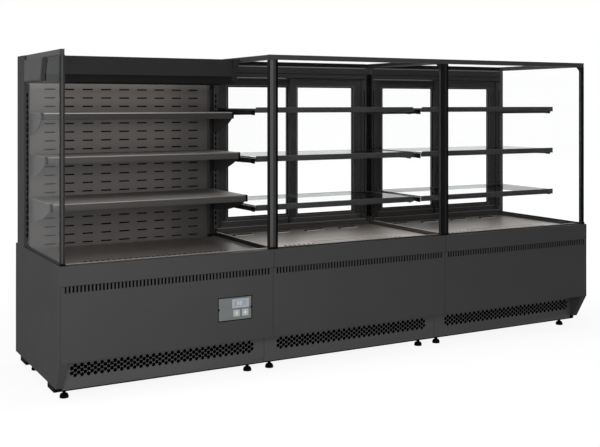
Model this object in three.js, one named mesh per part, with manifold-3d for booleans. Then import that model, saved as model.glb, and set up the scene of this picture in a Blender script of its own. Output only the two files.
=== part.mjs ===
// A refrigerated display line-up of three joined bays on one plinth: an open multideck bay with a canopy and
// a slotted back wall, then two glazed bays with glass shelves and pairs of sliding doors at the rear.
// Millimetres. The geometry is drawn from the front left floor corner (X along the length, Y towards the
// back, Z up), and the exported group moves that corner so that the origin is on the floor under the middle.
import * as THREE from 'three';
import { mergeVertices } from 'three/addons/utils/BufferGeometryUtils.js';
import Module from 'manifold-3d';

const wasm = await Module();
wasm.setup();

// ---- Driving dimensions -------------------------------------------------------------------------------

const bayLength = 900;
const bayCount = 3;
const baseDepth = 732;
const sheet = 2; // folded steel sheet
const fit = 0.3; // clearance between pieces that are seated on each other
const panelSeam = 1.5;
const cornerGrid = 1000; // steps in a millimetre
const lap = 0.2; // walls joined into one piece are staggered by this, so that no two faces share a plane

// Plinth: levelling feet, two cross rails, recessed kick grille
const footHeight = 37;
const footPadDiameter = 36;
const footPadHeight = 15.5;
const footPadEdge = 7; // height of the pad's straight rim
const footPadTaper = 3.6; // how far its top edge lies inside the rim
const footBossRise = 4; // from the pad's top edge up to the stem
const footStemDiameter = 14;
const footInset = 53; // from a bay's end to its feet
const railHeight = 19;
const railDepth = 95;
const rearRailInset = 92; // from the base's back to the rear rail
const kickSetback = 84;
const kickLipHeight = 20;
const kickLipLean = 6;
const kickLipDrop = 14; // how far the lip hangs below the side panels
const kickPlateOverlap = 12; // the grille plate stands this far up behind the front panel
const grilleHexRadius = 14.5;
const grilleHexRise = 28;
const grillePitch = 26.7;
const grilleMargin = 71;
const grilleHeightAboveLip = 53;

// Base casing
const kickOpening = 112; // from the side panel's foot up to the front panel
const frontPanelHeight = 288.5;
const fasciaHeight = 76;
const ledgeDepth = 60;
const sidePanelThickness = 30;
const chamferDepth = 68;
const combPitch = 14.8;
const combSlotWidth = 7.5;
const combSlotHeight = 24.5;
const combMargin = 20;
const louvreCount = 8;
const louvreFoot = 60; // above the base's floor
const louvreLength = 240;
const louvreHeight = 8;
const louvrePitch = 26;
const glandRadius = 14;
const glandBore = 7;
const glandLength = 22;
const glandInset = 160; // from the right end
const glandHeight = 60; // above the base's floor

// Cold deck
const tankFront = 34;
const tankWall = 30;
const tankBackGap = 32; // air gap between the tank and the base's back
const tankRearWall = 60;
const tankHeight = 152;
const deckDrop = 14; // deck surface below the top of the fascia
const deckStep = 20; // width of the step that carries the front of a deck tray
const deckBackGap = 2; // between the open bay's tray and its slotted back panel
const intakeHoleWidth = 12;
const intakeHoleDepth = 22;
const intakePitch = 23.5;
const intakeMargin = 143; // from a bay's end to its first hole's centre
const intakeSetback = 149;
const riserSlotLength = 95; // rear air slots of the glazed bays
const riserSlotDepth = 8;
const riserSlotPitch = 193;
const riserSlotCount = 4;
const riserSetback = 601;

// Upper frame
const frameHeight = 821; // from the fascia's top to the top of the frame
const frameRail = 21;
const postSetback = 13;
const postDepth = 20;
const endPostWidth = 14;
const endPostInset = 6;
const jointPostWidth = 38;
const jointRailWidth = 26;
const jointPostShift = 8; // a joint post stands this far past the joint
const gusset = 28;
const glassTrim = 6;
const glassThickness = 6;
const trimLip = 3; // how far the trim stands out on each side of its pane
const topRearRailDepth = 20;

// Open bay
const rearBoxDepth = 122; // the insulated back, with its uprights
const uprightWidth = 24;
const jointUprightWidth = 38;
const insulationDepth = 60;
const backPanelSetback = 24; // slotted panel behind the uprights' faces
const backPanelFoot = 500;
const wallSlotLength = 49;
const wallSlotHeight = 6;
const wallSlotColumns = 9;
const wallSlotPitch = 84;
const wallSlotRows = 19;
const wallSlotRise = 37.5;
const wallSlotTopMargin = 22;
const wallSlotShift = 10.5; // the slots' field lies this far right of the panel's middle
const canopySetback = 290;
const canopyFaceHeight = 76;
const canopyBandHeight = 32;
const canopyBandStep = 12;
const canopyTopDrop = 11; // canopy's top below the top of the frame
const canopyInset = 27; // from the bay's right end to the canopy's
const cheekWidth = 28; // moulded cheek that closes the canopy's right end
const cheekLead = 19; // a cheek's top corner stands this far in front of the canopy's face
const cheekLean = 38.5; // and this far in front of its foot
const outletMargin = 60; // from the canopy's end to its first air outlet
const outletLength = 90;
const outletPitch = 110;
const outletGap = 10; // from the band's face to the outlets
const outletWidth = 16;
const bayClearance = 19; // shelves stop this far from the joint post's glass
const lampDepth = 20;
const lampHeight = 11;
const lampSetback = 40;
const lampMargin = 40;
const shelfDepths = [363, 287, 220]; // lowest first
const shelfTops = [742, 928, 1108];
const shelfLip = 36;
const shelfBracketHeight = 100;
const bracketThickness = 3;
const bracketSteps = 6; // straight pieces in a bracket's curved edge

// Glazed bays
const doorFrameDepth = 60;
const doorJamb = 51;
const doorHead = 62;
const doorSill = 9;
const trackGrooveDepth = 8;
const headGrooveDepth = 14;
const leafThickness = 20;
const trackSpacing = 26; // centre to centre of the two tracks
const leafOuterStile = 48;
const leafMeetingStile = 41;
const leafHeadRail = 40;
const leafFootRail = 43;
const leafOverlap = leafMeetingStile; // the meeting stiles stand one behind the other
const leafLift = 6; // clearance above a leaf, to lift it out
const gripLength = 160;
const gripWidth = 12;
const gripDepth = 4;
const glassShelfTops = [697, 911, 1126];
const glassShelfDepth = 427;
const glassShelfMargin = 27;
const shelfBar = 18;
const shelfBarDepth = 14;
const shelfArm = 26;

// Controller
const controllerWidth = 155;
const controllerHeight = 98;
const controllerRight = 98; // from the bay's right end to the plate's edge
const controllerFoot = 255;
const controllerThickness = 5;
const controllerFlange = 6;
const controllerRecess = 1;
const buttonWidth = 30;
const buttonHeight = 28.5;
const buttonLeft = 69; // from the plate's left edge to the first button
const buttonPitch = 40;
const buttonFoot = 15.5;
const buttonGap = 0.5;
const buttonFlange = 2;

// Cooling unit
const compressorCentre = [560, 400];
const compressorRadius = 78;
const compressorHeight = 170;
const compressorNeckRadius = 62; // at the can's foot and shoulder
const compressorCapRadius = 27;
const compressorFlare = 20; // height over which the foot widens
const compressorShoulder = 40; // from the top down to the full width
const compressorCapDrop = 12;
const compressorPlateMargin = 16;
const compressorPlateThickness = 6;
const condenserCentre = 250;
const condenserWidth = 300;
const condenserHeight = 250;
const condenserDepth = 44;
const condenserSetback = 130;
const shroudDepth = 40;
const fanRadius = 105;
const fanHubRadius = 24;
const fanTipGap = 6;
const fanHubLength = 22;
const fanInset = 8; // from the coil to the fan
const bladeCount = 5;
const bladeThickness = 2.5;
const bladeChord = 1.28; // times the hub's length
const bladePitch = 0.55; // radians out of the fan's plane
const motorRadius = 28;
const motorLength = 50;
const motorArmWidth = 14;
const evaporatorBackGap = 70; // from the coil to the tank's rear wall
const evaporatorDepth = 150;
const evaporatorHeight = 92;
const evaporatorLength = 700;
const evaporatorInset = 90;
const evaporatorFanRadius = 38;
const evaporatorFanHub = 11;
const evaporatorFanGap = 4;
const evaporatorShroudDepth = 26;

// Sides of the polygons that stand for circles
const smallRound = 12;
const middleRound = 16;
const largeRound = 24;

// ---- Heights and places that follow -------------------------------------------------------------------

const length = bayLength * bayCount;
const panelFoot = footHeight + railHeight;
const frontPanelFoot = panelFoot + kickOpening;
const frontPanelTop = frontPanelFoot + frontPanelHeight;
const fasciaFoot = frontPanelTop + panelSeam;
const worktop = fasciaFoot + fasciaHeight;
const kickFoot = panelFoot - kickLipDrop;
const kickBend = kickFoot + kickLipHeight;
const kickBack = kickSetback + kickLipLean + sheet;
const tankTop = worktop - sheet - fit;
const tankFloor = tankTop - tankHeight + tankWall;
const tankRear = baseDepth - tankBackGap;
const tankRearInner = tankRear - tankRearWall;
const evaporatorSetback = tankRearInner - evaporatorBackGap - evaporatorDepth;
const deckTop = worktop - deckDrop;
const upperFoot = worktop + fit;
const frameTop = worktop + frameHeight;
const railFoot = frameTop - frameRail;
const postRear = postSetback + postDepth;
const rearFace = tankRear; // back of the upper part
const uprightFace = rearFace - rearBoxDepth;
const doorFace = rearFace - doorFrameDepth;
const canopyTop = frameTop - canopyTopDrop;
const canopyFaceFoot = canopyTop - canopyFaceHeight;
const canopyFoot = canopyFaceFoot - canopyBandHeight;
const backPanelTop = canopyFoot - fit;
const trimTop = upperFoot + glassTrim;
const bayStart = (bay) => bay * bayLength;

// Where each of the four frame stations stands: its centre, and the widths of its post and top rail.
const stations = [
  { centre: endPostInset + endPostWidth / 2, post: endPostWidth, rail: endPostWidth - 2 * lap },
  { centre: bayLength + jointPostShift, post: jointPostWidth, rail: jointRailWidth },
  { centre: 2 * bayLength + jointPostShift, post: jointPostWidth, rail: jointRailWidth },
  { centre: length - endPostInset - endPostWidth / 2, post: endPostWidth, rail: endPostWidth - 2 * lap },
];
const openBayLeft = stations[0].centre + stations[0].rail / 2 + fit;
const openBayRight = stations[1].centre - glassThickness / 2 - bayClearance - fit;
const canopyRight = bayLength - canopyInset;

// ---- Materials ----------------------------------------------------------------------------------------

const paint = (color, roughness = 0.55, metalness = 0.2) =>
  new THREE.MeshStandardMaterial({ color, roughness, metalness });
const materials = {
  casing: paint(0x454545, 0.5),
  frame: paint(0x2c2c2c, 0.45),
  liner: paint(0x6d6661, 0.5, 0.4),
  black: paint(0x161616, 0.7, 0),
  rubber: paint(0x1c1c1c, 0.8, 0),
  chassis: paint(0x202020, 0.6),
  plastic: paint(0x5f6264, 0.35, 0),
  button: paint(0x34373a, 0.4, 0),
  lamp: paint(0xf4f1ea, 0.4, 0),
  foam: paint(0x3a3a3a, 0.6, 0.1),
  coil: paint(0xb9bcbf, 0.35, 0.8),
  copper: paint(0x26282a, 0.4, 0.5),
  glass: new THREE.MeshStandardMaterial({
    color: 0xeef4f2, roughness: 0.05, metalness: 0, transparent: true, opacity: 0.25,
  }),
};

// ---- Geometry helpers ---------------------------------------------------------------------------------

const box = (x0, x1, y0, y1, z0, z1) =>
  new THREE.BoxGeometry(x1 - x0, y1 - y0, z1 - z0)
    .translate((x0 + x1) / 2, (y0 + y1) / 2, (z0 + z1) / 2);

const prism = (outline, from, to) =>
  new THREE.ExtrudeGeometry(
    new THREE.Shape(outline.map(([u, v]) => new THREE.Vector2(u, v))),
    { depth: to - from, bevelEnabled: false },
  ).translate(0, 0, from);

// A prism with its holes cut right through it.
const extrude = (outline, holes, depth) =>
  cut(prism(outline, 0, depth), ...holes.map((hole) => prism(hole, -sheet, depth + sheet)));

const axes = (x, y, z) =>
  new THREE.Matrix4().makeBasis(new THREE.Vector3(...x), new THREE.Vector3(...y), new THREE.Vector3(...z));
const profileAxes = axes([0, 1, 0], [0, 0, 1], [1, 0, 0]);
const panelAxes = axes([1, 0, 0], [0, 0, 1], [0, -1, 0]);

// An outline in Y and Z, drawn along X.
const alongX = (outline, x0, x1, holes = []) =>
  extrude(outline, holes, x1 - x0).applyMatrix4(profileAxes).translate(x0, 0, 0);
// An outline in X and Z, drawn along Y.
const alongY = (outline, y0, y1, holes = []) =>
  extrude(outline, holes, y1 - y0).applyMatrix4(panelAxes).translate(0, y1, 0);
// An outline in X and Y, drawn along Z.
const alongZ = (outline, z0, z1, holes = []) => extrude(outline, holes, z1 - z0).translate(0, 0, z0);

const rectangle = (u0, u1, v0, v1) => [[u0, v0], [u1, v0], [u1, v1], [u0, v1]];
const polygon = (u, v, radius, sides, turn = 0) =>
  Array.from({ length: sides }, (_, i) => {
    const angle = turn + (2 * Math.PI * i) / sides;
    return [u + radius * Math.cos(angle), v + radius * Math.sin(angle)];
  });

// Corners are set on a fine grid first, so that faces drawn in different ways meet exactly.
function solid(geometry) {
  const bare = geometry.clone();
  const corners = bare.attributes.position.array;
  corners.forEach((value, i) => {
    corners[i] = Math.round(value * cornerGrid) / cornerGrid;
  });
  bare.deleteAttribute('normal');
  bare.deleteAttribute('uv');
  const merged = mergeVertices(bare, 1e-4);
  return new wasm.Manifold(new wasm.Mesh({
    numProp: 3,
    vertProperties: new Float32Array(merged.attributes.position.array),
    triVerts: new Uint32Array(merged.index.array),
  }));
}

function geometryOf(manifold) {
  const made = manifold.getMesh();
  const geometry = new THREE.BufferGeometry();
  geometry.setAttribute('position', new THREE.BufferAttribute(made.vertProperties, 3));
  geometry.setIndex(new THREE.BufferAttribute(made.triVerts, 1));
  geometry.computeVertexNormals();
  return geometry;
}

const union = (parts) => wasm.Manifold.union(parts.map(solid));
const join = (...parts) => geometryOf(union(parts));
const cut = (body, ...tools) => (tools.length ? geometryOf(solid(body).subtract(union(tools))) : body);

const line = new THREE.Group();
line.position.set(-length / 2, -baseDepth / 2, 0);
function add(name, geometry, material) {
  const mesh = new THREE.Mesh(geometry, material);
  mesh.name = name;
  line.add(mesh);
}

// ---- Plinth -------------------------------------------------------------------------------------------

// A levelling foot: a domed pad on a stem that runs up into the rail.
function foot(x, y) {
  const pad = footPadDiameter / 2;
  const stem = footStemDiameter / 2;
  const top = footHeight + railHeight / 2;
  const profile = [
    [0, 0], [pad, 0], [pad, footPadEdge], [pad - footPadTaper, footPadHeight],
    [stem, footPadHeight + footBossRise], [stem, top], [0, top],
  ];
  return new THREE.LatheGeometry(profile.map(([r, z]) => new THREE.Vector2(r, z)), smallRound)
    .rotateX(Math.PI / 2)
    .translate(x, y, 0);
}

function chassisRail(setback) {
  const rail = box(0, length, setback, setback + railDepth, footHeight, panelFoot);
  const feet = [];
  for (let bay = 0; bay < bayCount; bay++) {
    for (const x of [footInset, bayLength - footInset]) {
      feet.push(foot(bayStart(bay) + x, setback + railDepth / 2));
    }
  }
  return join(rail, ...feet);
}

// Offset columns of hexagonal holes: two in the odd columns, one in the even ones.
function grilleHoles(bay) {
  const span = bayLength - 2 * grilleMargin;
  const steps = 2 * Math.floor(span / grillePitch / 2);
  const first = bayStart(bay) + (bayLength - steps * grillePitch) / 2;
  const height = kickBend + grilleHeightAboveLip;
  const holes = [];
  for (let column = 0; column <= steps; column++) {
    const rises = column % 2 ? [0] : [-0.5, 0.5];
    for (const rise of rises) {
      holes.push(polygon(first + column * grillePitch, height + rise * grilleHexRise, grilleHexRadius, 6));
    }
  }
  return holes;
}

function kickGrille(bay) {
  const x0 = bay === 0 ? sidePanelThickness + fit : bayStart(bay) + panelSeam / 2;
  const x1 = bay === bayCount - 1 ? length - sidePanelThickness - fit : bayStart(bay + 1) - panelSeam / 2;
  const top = frontPanelFoot + kickPlateOverlap;
  const plate = alongY(rectangle(x0, x1, kickBend, top), kickSetback, kickSetback + sheet, grilleHoles(bay));
  const lip = alongX(
    [
      [kickSetback + lap, kickBend + sheet], [kickSetback + lap, kickBend],
      [kickSetback + kickLipLean, kickFoot], [kickBack, kickFoot],
      [kickSetback + sheet + lap, kickBend], [kickSetback + sheet / 2, kickBend + sheet],
    ],
    x0 + lap, x1 - lap,
  );
  return join(plate, lip);
}

// ---- Base casing --------------------------------------------------------------------------------------

// Floor and back of the machine space, one folded sheet with louvres, a ledge that carries the rear frames
// and the cord's gland.
function baseShell() {
  const x0 = sidePanelThickness + fit;
  const x1 = length - sidePanelThickness - fit;
  const floorFoot = panelFoot + fit;
  const louvres = [];
  for (let bay = 0; bay < bayCount; bay++) {
    const middle = bayStart(bay) + bayLength / 2;
    for (let row = 0; row < louvreCount; row++) {
      const z = floorFoot + louvreFoot + row * louvrePitch;
      louvres.push(rectangle(middle - louvreLength / 2, middle + louvreLength / 2, z, z + louvreHeight));
    }
  }
  const floor = box(x0 + lap, x1 - lap, kickBack + fit, baseDepth - sheet / 2, floorFoot, floorFoot + sheet);
  const back = alongY(
    rectangle(x0, x1, floorFoot + lap, worktop - lap), baseDepth - sheet, baseDepth, louvres,
  );
  const ledge = box(x0 + lap, x1 - lap, tankRearInner, baseDepth - sheet / 2, worktop - sheet, worktop);
  const glandX = length - glandInset;
  const glandZ = floorFoot + glandHeight;
  const glandFront = baseDepth - glandLength;
  const gland = alongY(polygon(glandX, glandZ, glandRadius, smallRound), glandFront, baseDepth - sheet / 2);
  const bore = alongY(polygon(glandX, glandZ, glandBore, smallRound), glandFront - sheet, baseDepth + sheet);
  return cut(join(floor, back, ledge, gland), bore);
}

function sidePanel(x0) {
  const front = sheet + fit;
  const foot = panelFoot + fit;
  return alongX(
    [
      [front, frontPanelFoot], [chamferDepth, foot], [baseDepth, foot], [baseDepth, worktop],
      [front, worktop],
    ],
    x0, x0 + sidePanelThickness,
  );
}

const controller = {
  x0: bayLength - controllerRight - controllerWidth,
  x1: bayLength - controllerRight,
  z0: controllerFoot,
  z1: controllerFoot + controllerHeight,
};

// Front panel with a comb of air slots cut down from its top edge, and a flange back to the kick grille.
function frontPanel(bay) {
  const x0 = bayStart(bay) + panelSeam / 2;
  const x1 = bayStart(bay + 1) - panelSeam / 2;
  const count = Math.floor((bayLength - 2 * combMargin) / combPitch) + 1;
  const first = bayStart(bay) + (bayLength - (count - 1) * combPitch) / 2;
  const outline = [[x0, frontPanelFoot], [x1, frontPanelFoot], [x1, frontPanelTop]];
  for (let slot = count - 1; slot >= 0; slot--) {
    const left = first + slot * combPitch - combSlotWidth / 2;
    const right = left + combSlotWidth;
    outline.push([right, frontPanelTop], [right, frontPanelTop - combSlotHeight]);
    outline.push([left, frontPanelTop - combSlotHeight], [left, frontPanelTop]);
  }
  outline.push([x0, frontPanelTop]);
  const { x0: left, x1: right, z0: low, z1: high } = controller;
  const window = rectangle(left - fit, right + fit, low - fit, high + fit);
  const flange0 = Math.max(x0, sidePanelThickness + fit);
  const flange1 = Math.min(x1, length - sidePanelThickness - fit);
  return join(
    alongY(outline, 0, sheet, bay === 0 ? [window] : []),
    box(
      flange0 + lap, flange1 - lap, sheet / 2, kickSetback - fit,
      frontPanelFoot + lap, frontPanelFoot + sheet,
    ),
  );
}

function upperFascia() {
  const inner = sidePanelThickness + fit;
  return join(
    box(0, length, 0, sheet, fasciaFoot, worktop),
    box(inner, length - inner, sheet / 2, ledgeDepth, worktop - sheet, worktop - lap),
  );
}

// ---- Cold deck ----------------------------------------------------------------------------------------

function insulatedTank() {
  const inner = tankFront + tankWall;
  const step = deckTop - sheet - fit;
  return alongX(
    [
      [tankFront, tankFloor - tankWall], [tankRear, tankFloor - tankWall], [tankRear, tankTop],
      [tankRearInner, tankTop], [tankRearInner, tankFloor], [inner, tankFloor], [inner, step],
      [inner - deckStep / 2, step], [inner - deckStep / 2, tankTop], [tankFront, tankTop],
    ],
    sidePanelThickness + fit, length - sidePanelThickness - fit,
  );
}

// A row of equal openings in a deck tray, as many as are asked for, about a middle given in X.
function deckRow(middle, count, pitch, width, setback, depth) {
  const first = middle - ((count - 1) * pitch) / 2;
  return Array.from({ length: count }, (_, i) => {
    const x = first + i * pitch;
    return rectangle(x - width / 2, x + width / 2, setback, setback + depth);
  });
}

// Deck tray with a row of air-intake holes near its front edge and a rear flange down to the tank floor. The
// glazed bays' trays also have air slots at the rear.
function deckTray(bay) {
  const x0 = bay === 0 ? sidePanelThickness + 2 * fit : bayStart(bay) + panelSeam / 2;
  const x1 = bay === bayCount - 1 ? length - sidePanelThickness - 2 * fit : bayStart(bay + 1) - panelSeam / 2;
  const y0 = tankFront + tankWall - deckStep / 2 + fit;
  const y1 = bay === 0 ? uprightFace + backPanelSetback - deckBackGap : tankRearInner - fit;
  const middle = bayStart(bay) + bayLength / 2;
  const count = Math.floor((bayLength - 2 * intakeMargin) / intakePitch) + 1;
  const intakes = deckRow(middle, count, intakePitch, intakeHoleWidth, intakeSetback, intakeHoleDepth);
  const risers = deckRow(
    middle + jointPostShift, bay === 0 ? 0 : riserSlotCount, riserSlotPitch, riserSlotLength, riserSetback,
    riserSlotDepth,
  );
  return join(
    alongZ(rectangle(x0, x1, y0, y1), deckTop - sheet, deckTop, [...intakes, ...risers]),
    box(x0 + lap, x1 - lap, y1 - sheet, y1 - lap, tankFloor + fit, deckTop - sheet / 2),
  );
}

// ---- Upper frame --------------------------------------------------------------------------------------

// The front edge of a canopy cheek leans back from its top corner to its foot.
const cheekFront = (z) =>
  canopySetback - cheekLead + (cheekLean * (railFoot - z)) / (railFoot - canopyFoot);
const cheek = (foot, top, rear, x0, x1) =>
  alongX([[cheekFront(foot), foot], [rear, foot], [rear, top], [cheekFront(top), top]], x0, x1);

// A side frame: front post, top rail and glass trim, with corner gussets beside the glass. The open bay's two
// frames also carry its slotted uprights, and the first one fills its upper corner beside the canopy.
function sideFrame(index) {
  const { centre, post, rail } = stations[index];
  const postTop = index === 0 ? frameTop : railFoot - fit;
  const railFront = index === 0 ? postRear - sheet : postRear + fit;
  const railTop = index === 0 ? frameTop - lap : frameTop;
  const trimRear = index === 0 ? uprightFace + sheet : doorFace - fit;
  const trimFoot = upperFoot + lap;
  const joint = index > 0 && index < bayCount;
  const underside = joint
    ? [[ledgeDepth + fit, trimFoot], [ledgeDepth + fit, deckTop + fit], [trimRear, deckTop + fit]]
    : [[trimRear, trimFoot]];
  const trim = [[postRear - sheet, trimFoot], ...underside, [trimRear, trimTop], [postRear - sheet, trimTop]];
  const trimHalf = glassThickness / 2 + trimLip;
  const beside = centre + glassThickness / 2 + fit;
  const gussetTop = railFoot - fit - lap;
  const gussetBack = postRear + fit + lap;
  const parts = [
    box(centre - post / 2, centre + post / 2, postSetback, postRear, upperFoot, postTop),
    box(centre - rail / 2, centre + rail / 2, railFront, rearFace - lap, railFoot, railTop),
    alongX(trim, centre - trimHalf, centre + trimHalf),
    alongX(
      [
        [postRear - sheet, railFoot - gusset], [postRear, railFoot - gusset], [postRear + gusset, railFoot],
        [postRear + gusset, railFoot + sheet], [gussetBack, railFoot + sheet],
        [gussetBack, gussetTop], [postRear - sheet, gussetTop],
      ],
      beside, centre + rail / 2 - lap,
    ),
  ];
  if (index >= 2) {
    const edge = centre - post / 2;
    parts.push(alongY(
      [[edge - gusset, gussetTop], [edge, gussetTop - gusset], [edge + sheet, gussetTop - gusset],
        [edge + sheet, gussetTop]],
      postSetback + lap, frontGlassFace - fit,
    ));
  }
  const uprightTop = frameTop - 2 * lap;
  if (index === 0) {
    parts.push(
      box(0, uprightWidth, uprightFace, rearFace, upperFoot, uprightTop),
      cheek(
        canopyFoot, railFoot + sheet, uprightFace + sheet, centre - rail / 2 + lap, centre + rail / 2 - lap,
      ),
    );
  }
  if (index === 1) {
    parts.push(box(bayLength - jointUprightWidth, bayLength, uprightFace, rearFace, upperFoot, uprightTop));
  }
  return join(...parts);
}

const frontGlassFace = postSetback + (postDepth - glassThickness) / 2;

function topFrontRail() {
  const x0 = stations[1].centre - stations[1].post / 2;
  const x1 = stations[bayCount].centre + stations[bayCount].post / 2;
  return box(x0, x1, postSetback, postRear, railFoot, frameTop);
}

// A side pane. The open bay's outer one is notched round the cheek in its frame's upper rear corner.
function sideGlass(index) {
  const { centre } = stations[index];
  const front = postRear + fit;
  const rear = (index === 0 ? uprightFace : doorFace) - fit;
  const foot = trimTop + fit;
  const top = railFoot - fit;
  const notchFoot = canopyFoot - fit;
  const upper = index === 0
    ? [[rear, notchFoot], [cheekFront(notchFoot) - fit - lap, notchFoot], [cheekFront(top) - fit - lap, top]]
    : [[rear, top]];
  const half = glassThickness / 2;
  return alongX([[front, foot], [rear, foot], ...upper, [front, top]], centre - half, centre + half);
}

function frontGlass(bay) {
  const x0 = stations[bay].centre + stations[bay].post / 2 + fit;
  const x1 = stations[bay + 1].centre - stations[bay + 1].post / 2 - fit;
  return box(x0, x1, frontGlassFace, frontGlassFace + glassThickness, upperFoot, railFoot - fit);
}

// What lies between the top rails of a bay's two side frames, in X.
const betweenRails = (bay) => [
  stations[bay].centre + stations[bay].rail / 2 + fit,
  stations[bay + 1].centre - stations[bay + 1].rail / 2 - fit,
];

function topGlass(bay) {
  const [x0, x1] = betweenRails(bay);
  return box(x0, x1, postRear + fit, rearFace - topRearRailDepth - fit, railFoot, railFoot + glassThickness);
}

// ---- Open bay -----------------------------------------------------------------------------------------

const wallLeft = uprightWidth + fit;
const wallRight = bayLength - jointUprightWidth - fit;

function slottedBackPanel() {
  const first = (wallLeft + wallRight - (wallSlotColumns - 1) * wallSlotPitch) / 2 + wallSlotShift;
  const slots = [];
  for (let row = 0; row < wallSlotRows; row++) {
    const z = backPanelTop - wallSlotTopMargin - row * wallSlotRise;
    for (let column = 0; column < wallSlotColumns; column++) {
      const x = first + column * wallSlotPitch;
      slots.push(rectangle(x - wallSlotLength / 2, x + wallSlotLength / 2, z - wallSlotHeight, z));
    }
  }
  const y0 = uprightFace + backPanelSetback;
  const foot = sidePanelThickness + 2 * fit;
  const outline = [
    [foot, backPanelFoot], [wallRight, backPanelFoot], [wallRight, backPanelTop], [wallLeft, backPanelTop],
    [wallLeft, upperFoot], [foot, upperFoot],
  ];
  return alongY(outline, y0, y0 + sheet, slots);
}

const canopyRear = uprightFace - fit;

// Sheet-metal canopy: a tall face, a recessed band under it, closed ends with a cheek on the right one, and
// air outlets in its underside.
function canopy() {
  const face = canopySetback;
  const band = canopySetback + canopyBandStep;
  const end = (x) => alongX(
    [
      [band, canopyFoot], [canopyRear, canopyFoot], [canopyRear, canopyTop], [face, canopyTop],
      [face, canopyFaceFoot], [band, canopyFaceFoot],
    ],
    x, x + sheet,
  );
  const cheekLeft = canopyRight - cheekWidth;
  const outlets = [];
  for (let x = openBayLeft + outletMargin; x + outletLength < cheekLeft; x += outletPitch) {
    outlets.push(rectangle(x, x + outletLength, band + outletGap, band + outletGap + outletWidth));
  }
  const wall = rearFace - insulationDepth - fit;
  const backPanelFace = uprightFace + backPanelSetback + sheet;
  const left = openBayLeft + lap;
  const right = cheekLeft + sheet - lap;
  return join(
    end(openBayLeft),
    end(cheekLeft),
    cheek(canopyFoot + lap / 2, canopyTop - lap / 2, canopyRear - lap / 2, cheekLeft + lap / 2, canopyRight),
    box(left, right, face + lap, face + sheet, canopyFaceFoot + lap, canopyTop - lap),
    box(left, right, face + sheet / 2, band + sheet, canopyFaceFoot + 2 * lap, canopyFaceFoot + sheet),
    box(left, right, band + lap, band + sheet - lap, canopyFoot + lap, canopyFaceFoot + sheet / 2),
    box(left, right, face + sheet / 2, canopyRear - lap, canopyTop - sheet, canopyTop - 2 * lap),
    alongZ(
      rectangle(left, right, band + sheet / 2, canopyRear - lap),
      canopyFoot + 2 * lap, canopyFoot + sheet, outlets,
    ),
    box(wallLeft, wallRight, canopyRear - sheet, wall, canopyTop - sheet + lap, canopyTop - 3 * lap),
    box(
      wallLeft, wallRight, canopyRear - sheet, backPanelFace, canopyFoot + 3 * lap, canopyFoot + sheet - lap,
    ),
  );
}

function canopyLamp() {
  const x0 = openBayLeft + lampMargin;
  const x1 = canopyRight - cheekWidth - lampMargin;
  const y0 = canopySetback + lampSetback;
  return box(x0, x1, y0, y0 + lampDepth, canopyFoot - fit - lampHeight, canopyFoot - fit);
}

// Shelf with a deep front lip, carried by a curved bracket at each end.
function shelf(level) {
  const top = shelfTops[level];
  const rear = uprightFace - fit;
  const front = uprightFace - shelfDepths[level];
  const inner = front + sheet;
  const bracketFront = front + sheet / 2;
  const bracketRear = rear - sheet / 2;
  const bracketTop = top - sheet / 2;
  const bracketFoot = top - shelfLip + sheet;
  const reach = bracketRear - bracketFront;
  const curve = [];
  for (let i = 1; i <= bracketSteps; i++) {
    const t = i / bracketSteps;
    const drop = (shelfBracketHeight - shelfLip) * (1 - (1 - t) ** 2);
    curve.push([bracketFront + reach * t, bracketFoot - drop]);
  }
  const bracket = (x) => alongX(
    [[bracketFront, bracketTop], [bracketFront, bracketFoot], ...curve, [bracketRear, bracketTop]],
    x, x + bracketThickness,
  );
  return join(
    box(openBayLeft, openBayRight, front + lap, rear, top - sheet, top),
    box(openBayLeft + lap, openBayRight - lap, front, inner, top - shelfLip, top - lap),
    bracket(openBayLeft + sheet / 2),
    bracket(openBayRight - sheet / 2 - bracketThickness),
  );
}

// ---- Glazed bays --------------------------------------------------------------------------------------

const openingFoot = upperFoot + doorSill + trackGrooveDepth;
const openingTop = railFoot - fit - doorHead;
const leafFoot = openingFoot - trackGrooveDepth + fit;
const leafTop = openingTop + headGrooveDepth - leafLift;

// The front face of a leaf in each of the two tracks, 0 the front one and 1 the rear one. The left leaves run
// in the rear track and the right ones in the front track.
const leafTracks = [1, 0];
const trackFace = (track) =>
  doorFace + doorFrameDepth / 2 + (track - 0.5) * trackSpacing - leafThickness / 2;

function doorOpening(bay) {
  return [bayStart(bay) + doorJamb, bayStart(bay + 1) - doorJamb];
}

// Frame of a bay's rear doors: head, jambs and sill with two tracks, and a top rail behind the top glass.
function doorFrame(bay) {
  const x0 = bayStart(bay) + fit;
  const x1 = bay === bayCount - 1 ? length : bayStart(bay + 1) - fit;
  const [left, right] = doorOpening(bay);
  const ring = alongY(
    rectangle(x0, x1, upperFoot, railFoot - fit), doorFace, rearFace,
    [rectangle(left, right, openingFoot, openingTop)],
  );
  const grooves = [];
  for (const track of [0, 1]) {
    const y0 = trackFace(track) - fit;
    const y1 = y0 + leafThickness + 2 * fit;
    grooves.push(box(left, right, y0, y1, openingFoot - trackGrooveDepth, openingFoot + sheet));
    grooves.push(box(left, right, y0, y1, openingTop - sheet, openingTop + headGrooveDepth));
  }
  const [railLeft, railRight] = betweenRails(bay);
  const topRail = box(
    railLeft, railRight, rearFace - topRearRailDepth, rearFace - lap, railFoot - fit - sheet, frameTop - lap,
  );
  return join(cut(ring, ...grooves), topRail);
}

const leafWidth = (bayLength - 2 * doorJamb + leafOverlap) / 2 - fit;

// Side 0 is the left leaf, side 1 the right one.
function leafSpan(bay, side) {
  const [left, right] = doorOpening(bay);
  return side === 0 ? [left + fit, left + fit + leafWidth] : [right - fit - leafWidth, right - fit];
}

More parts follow.
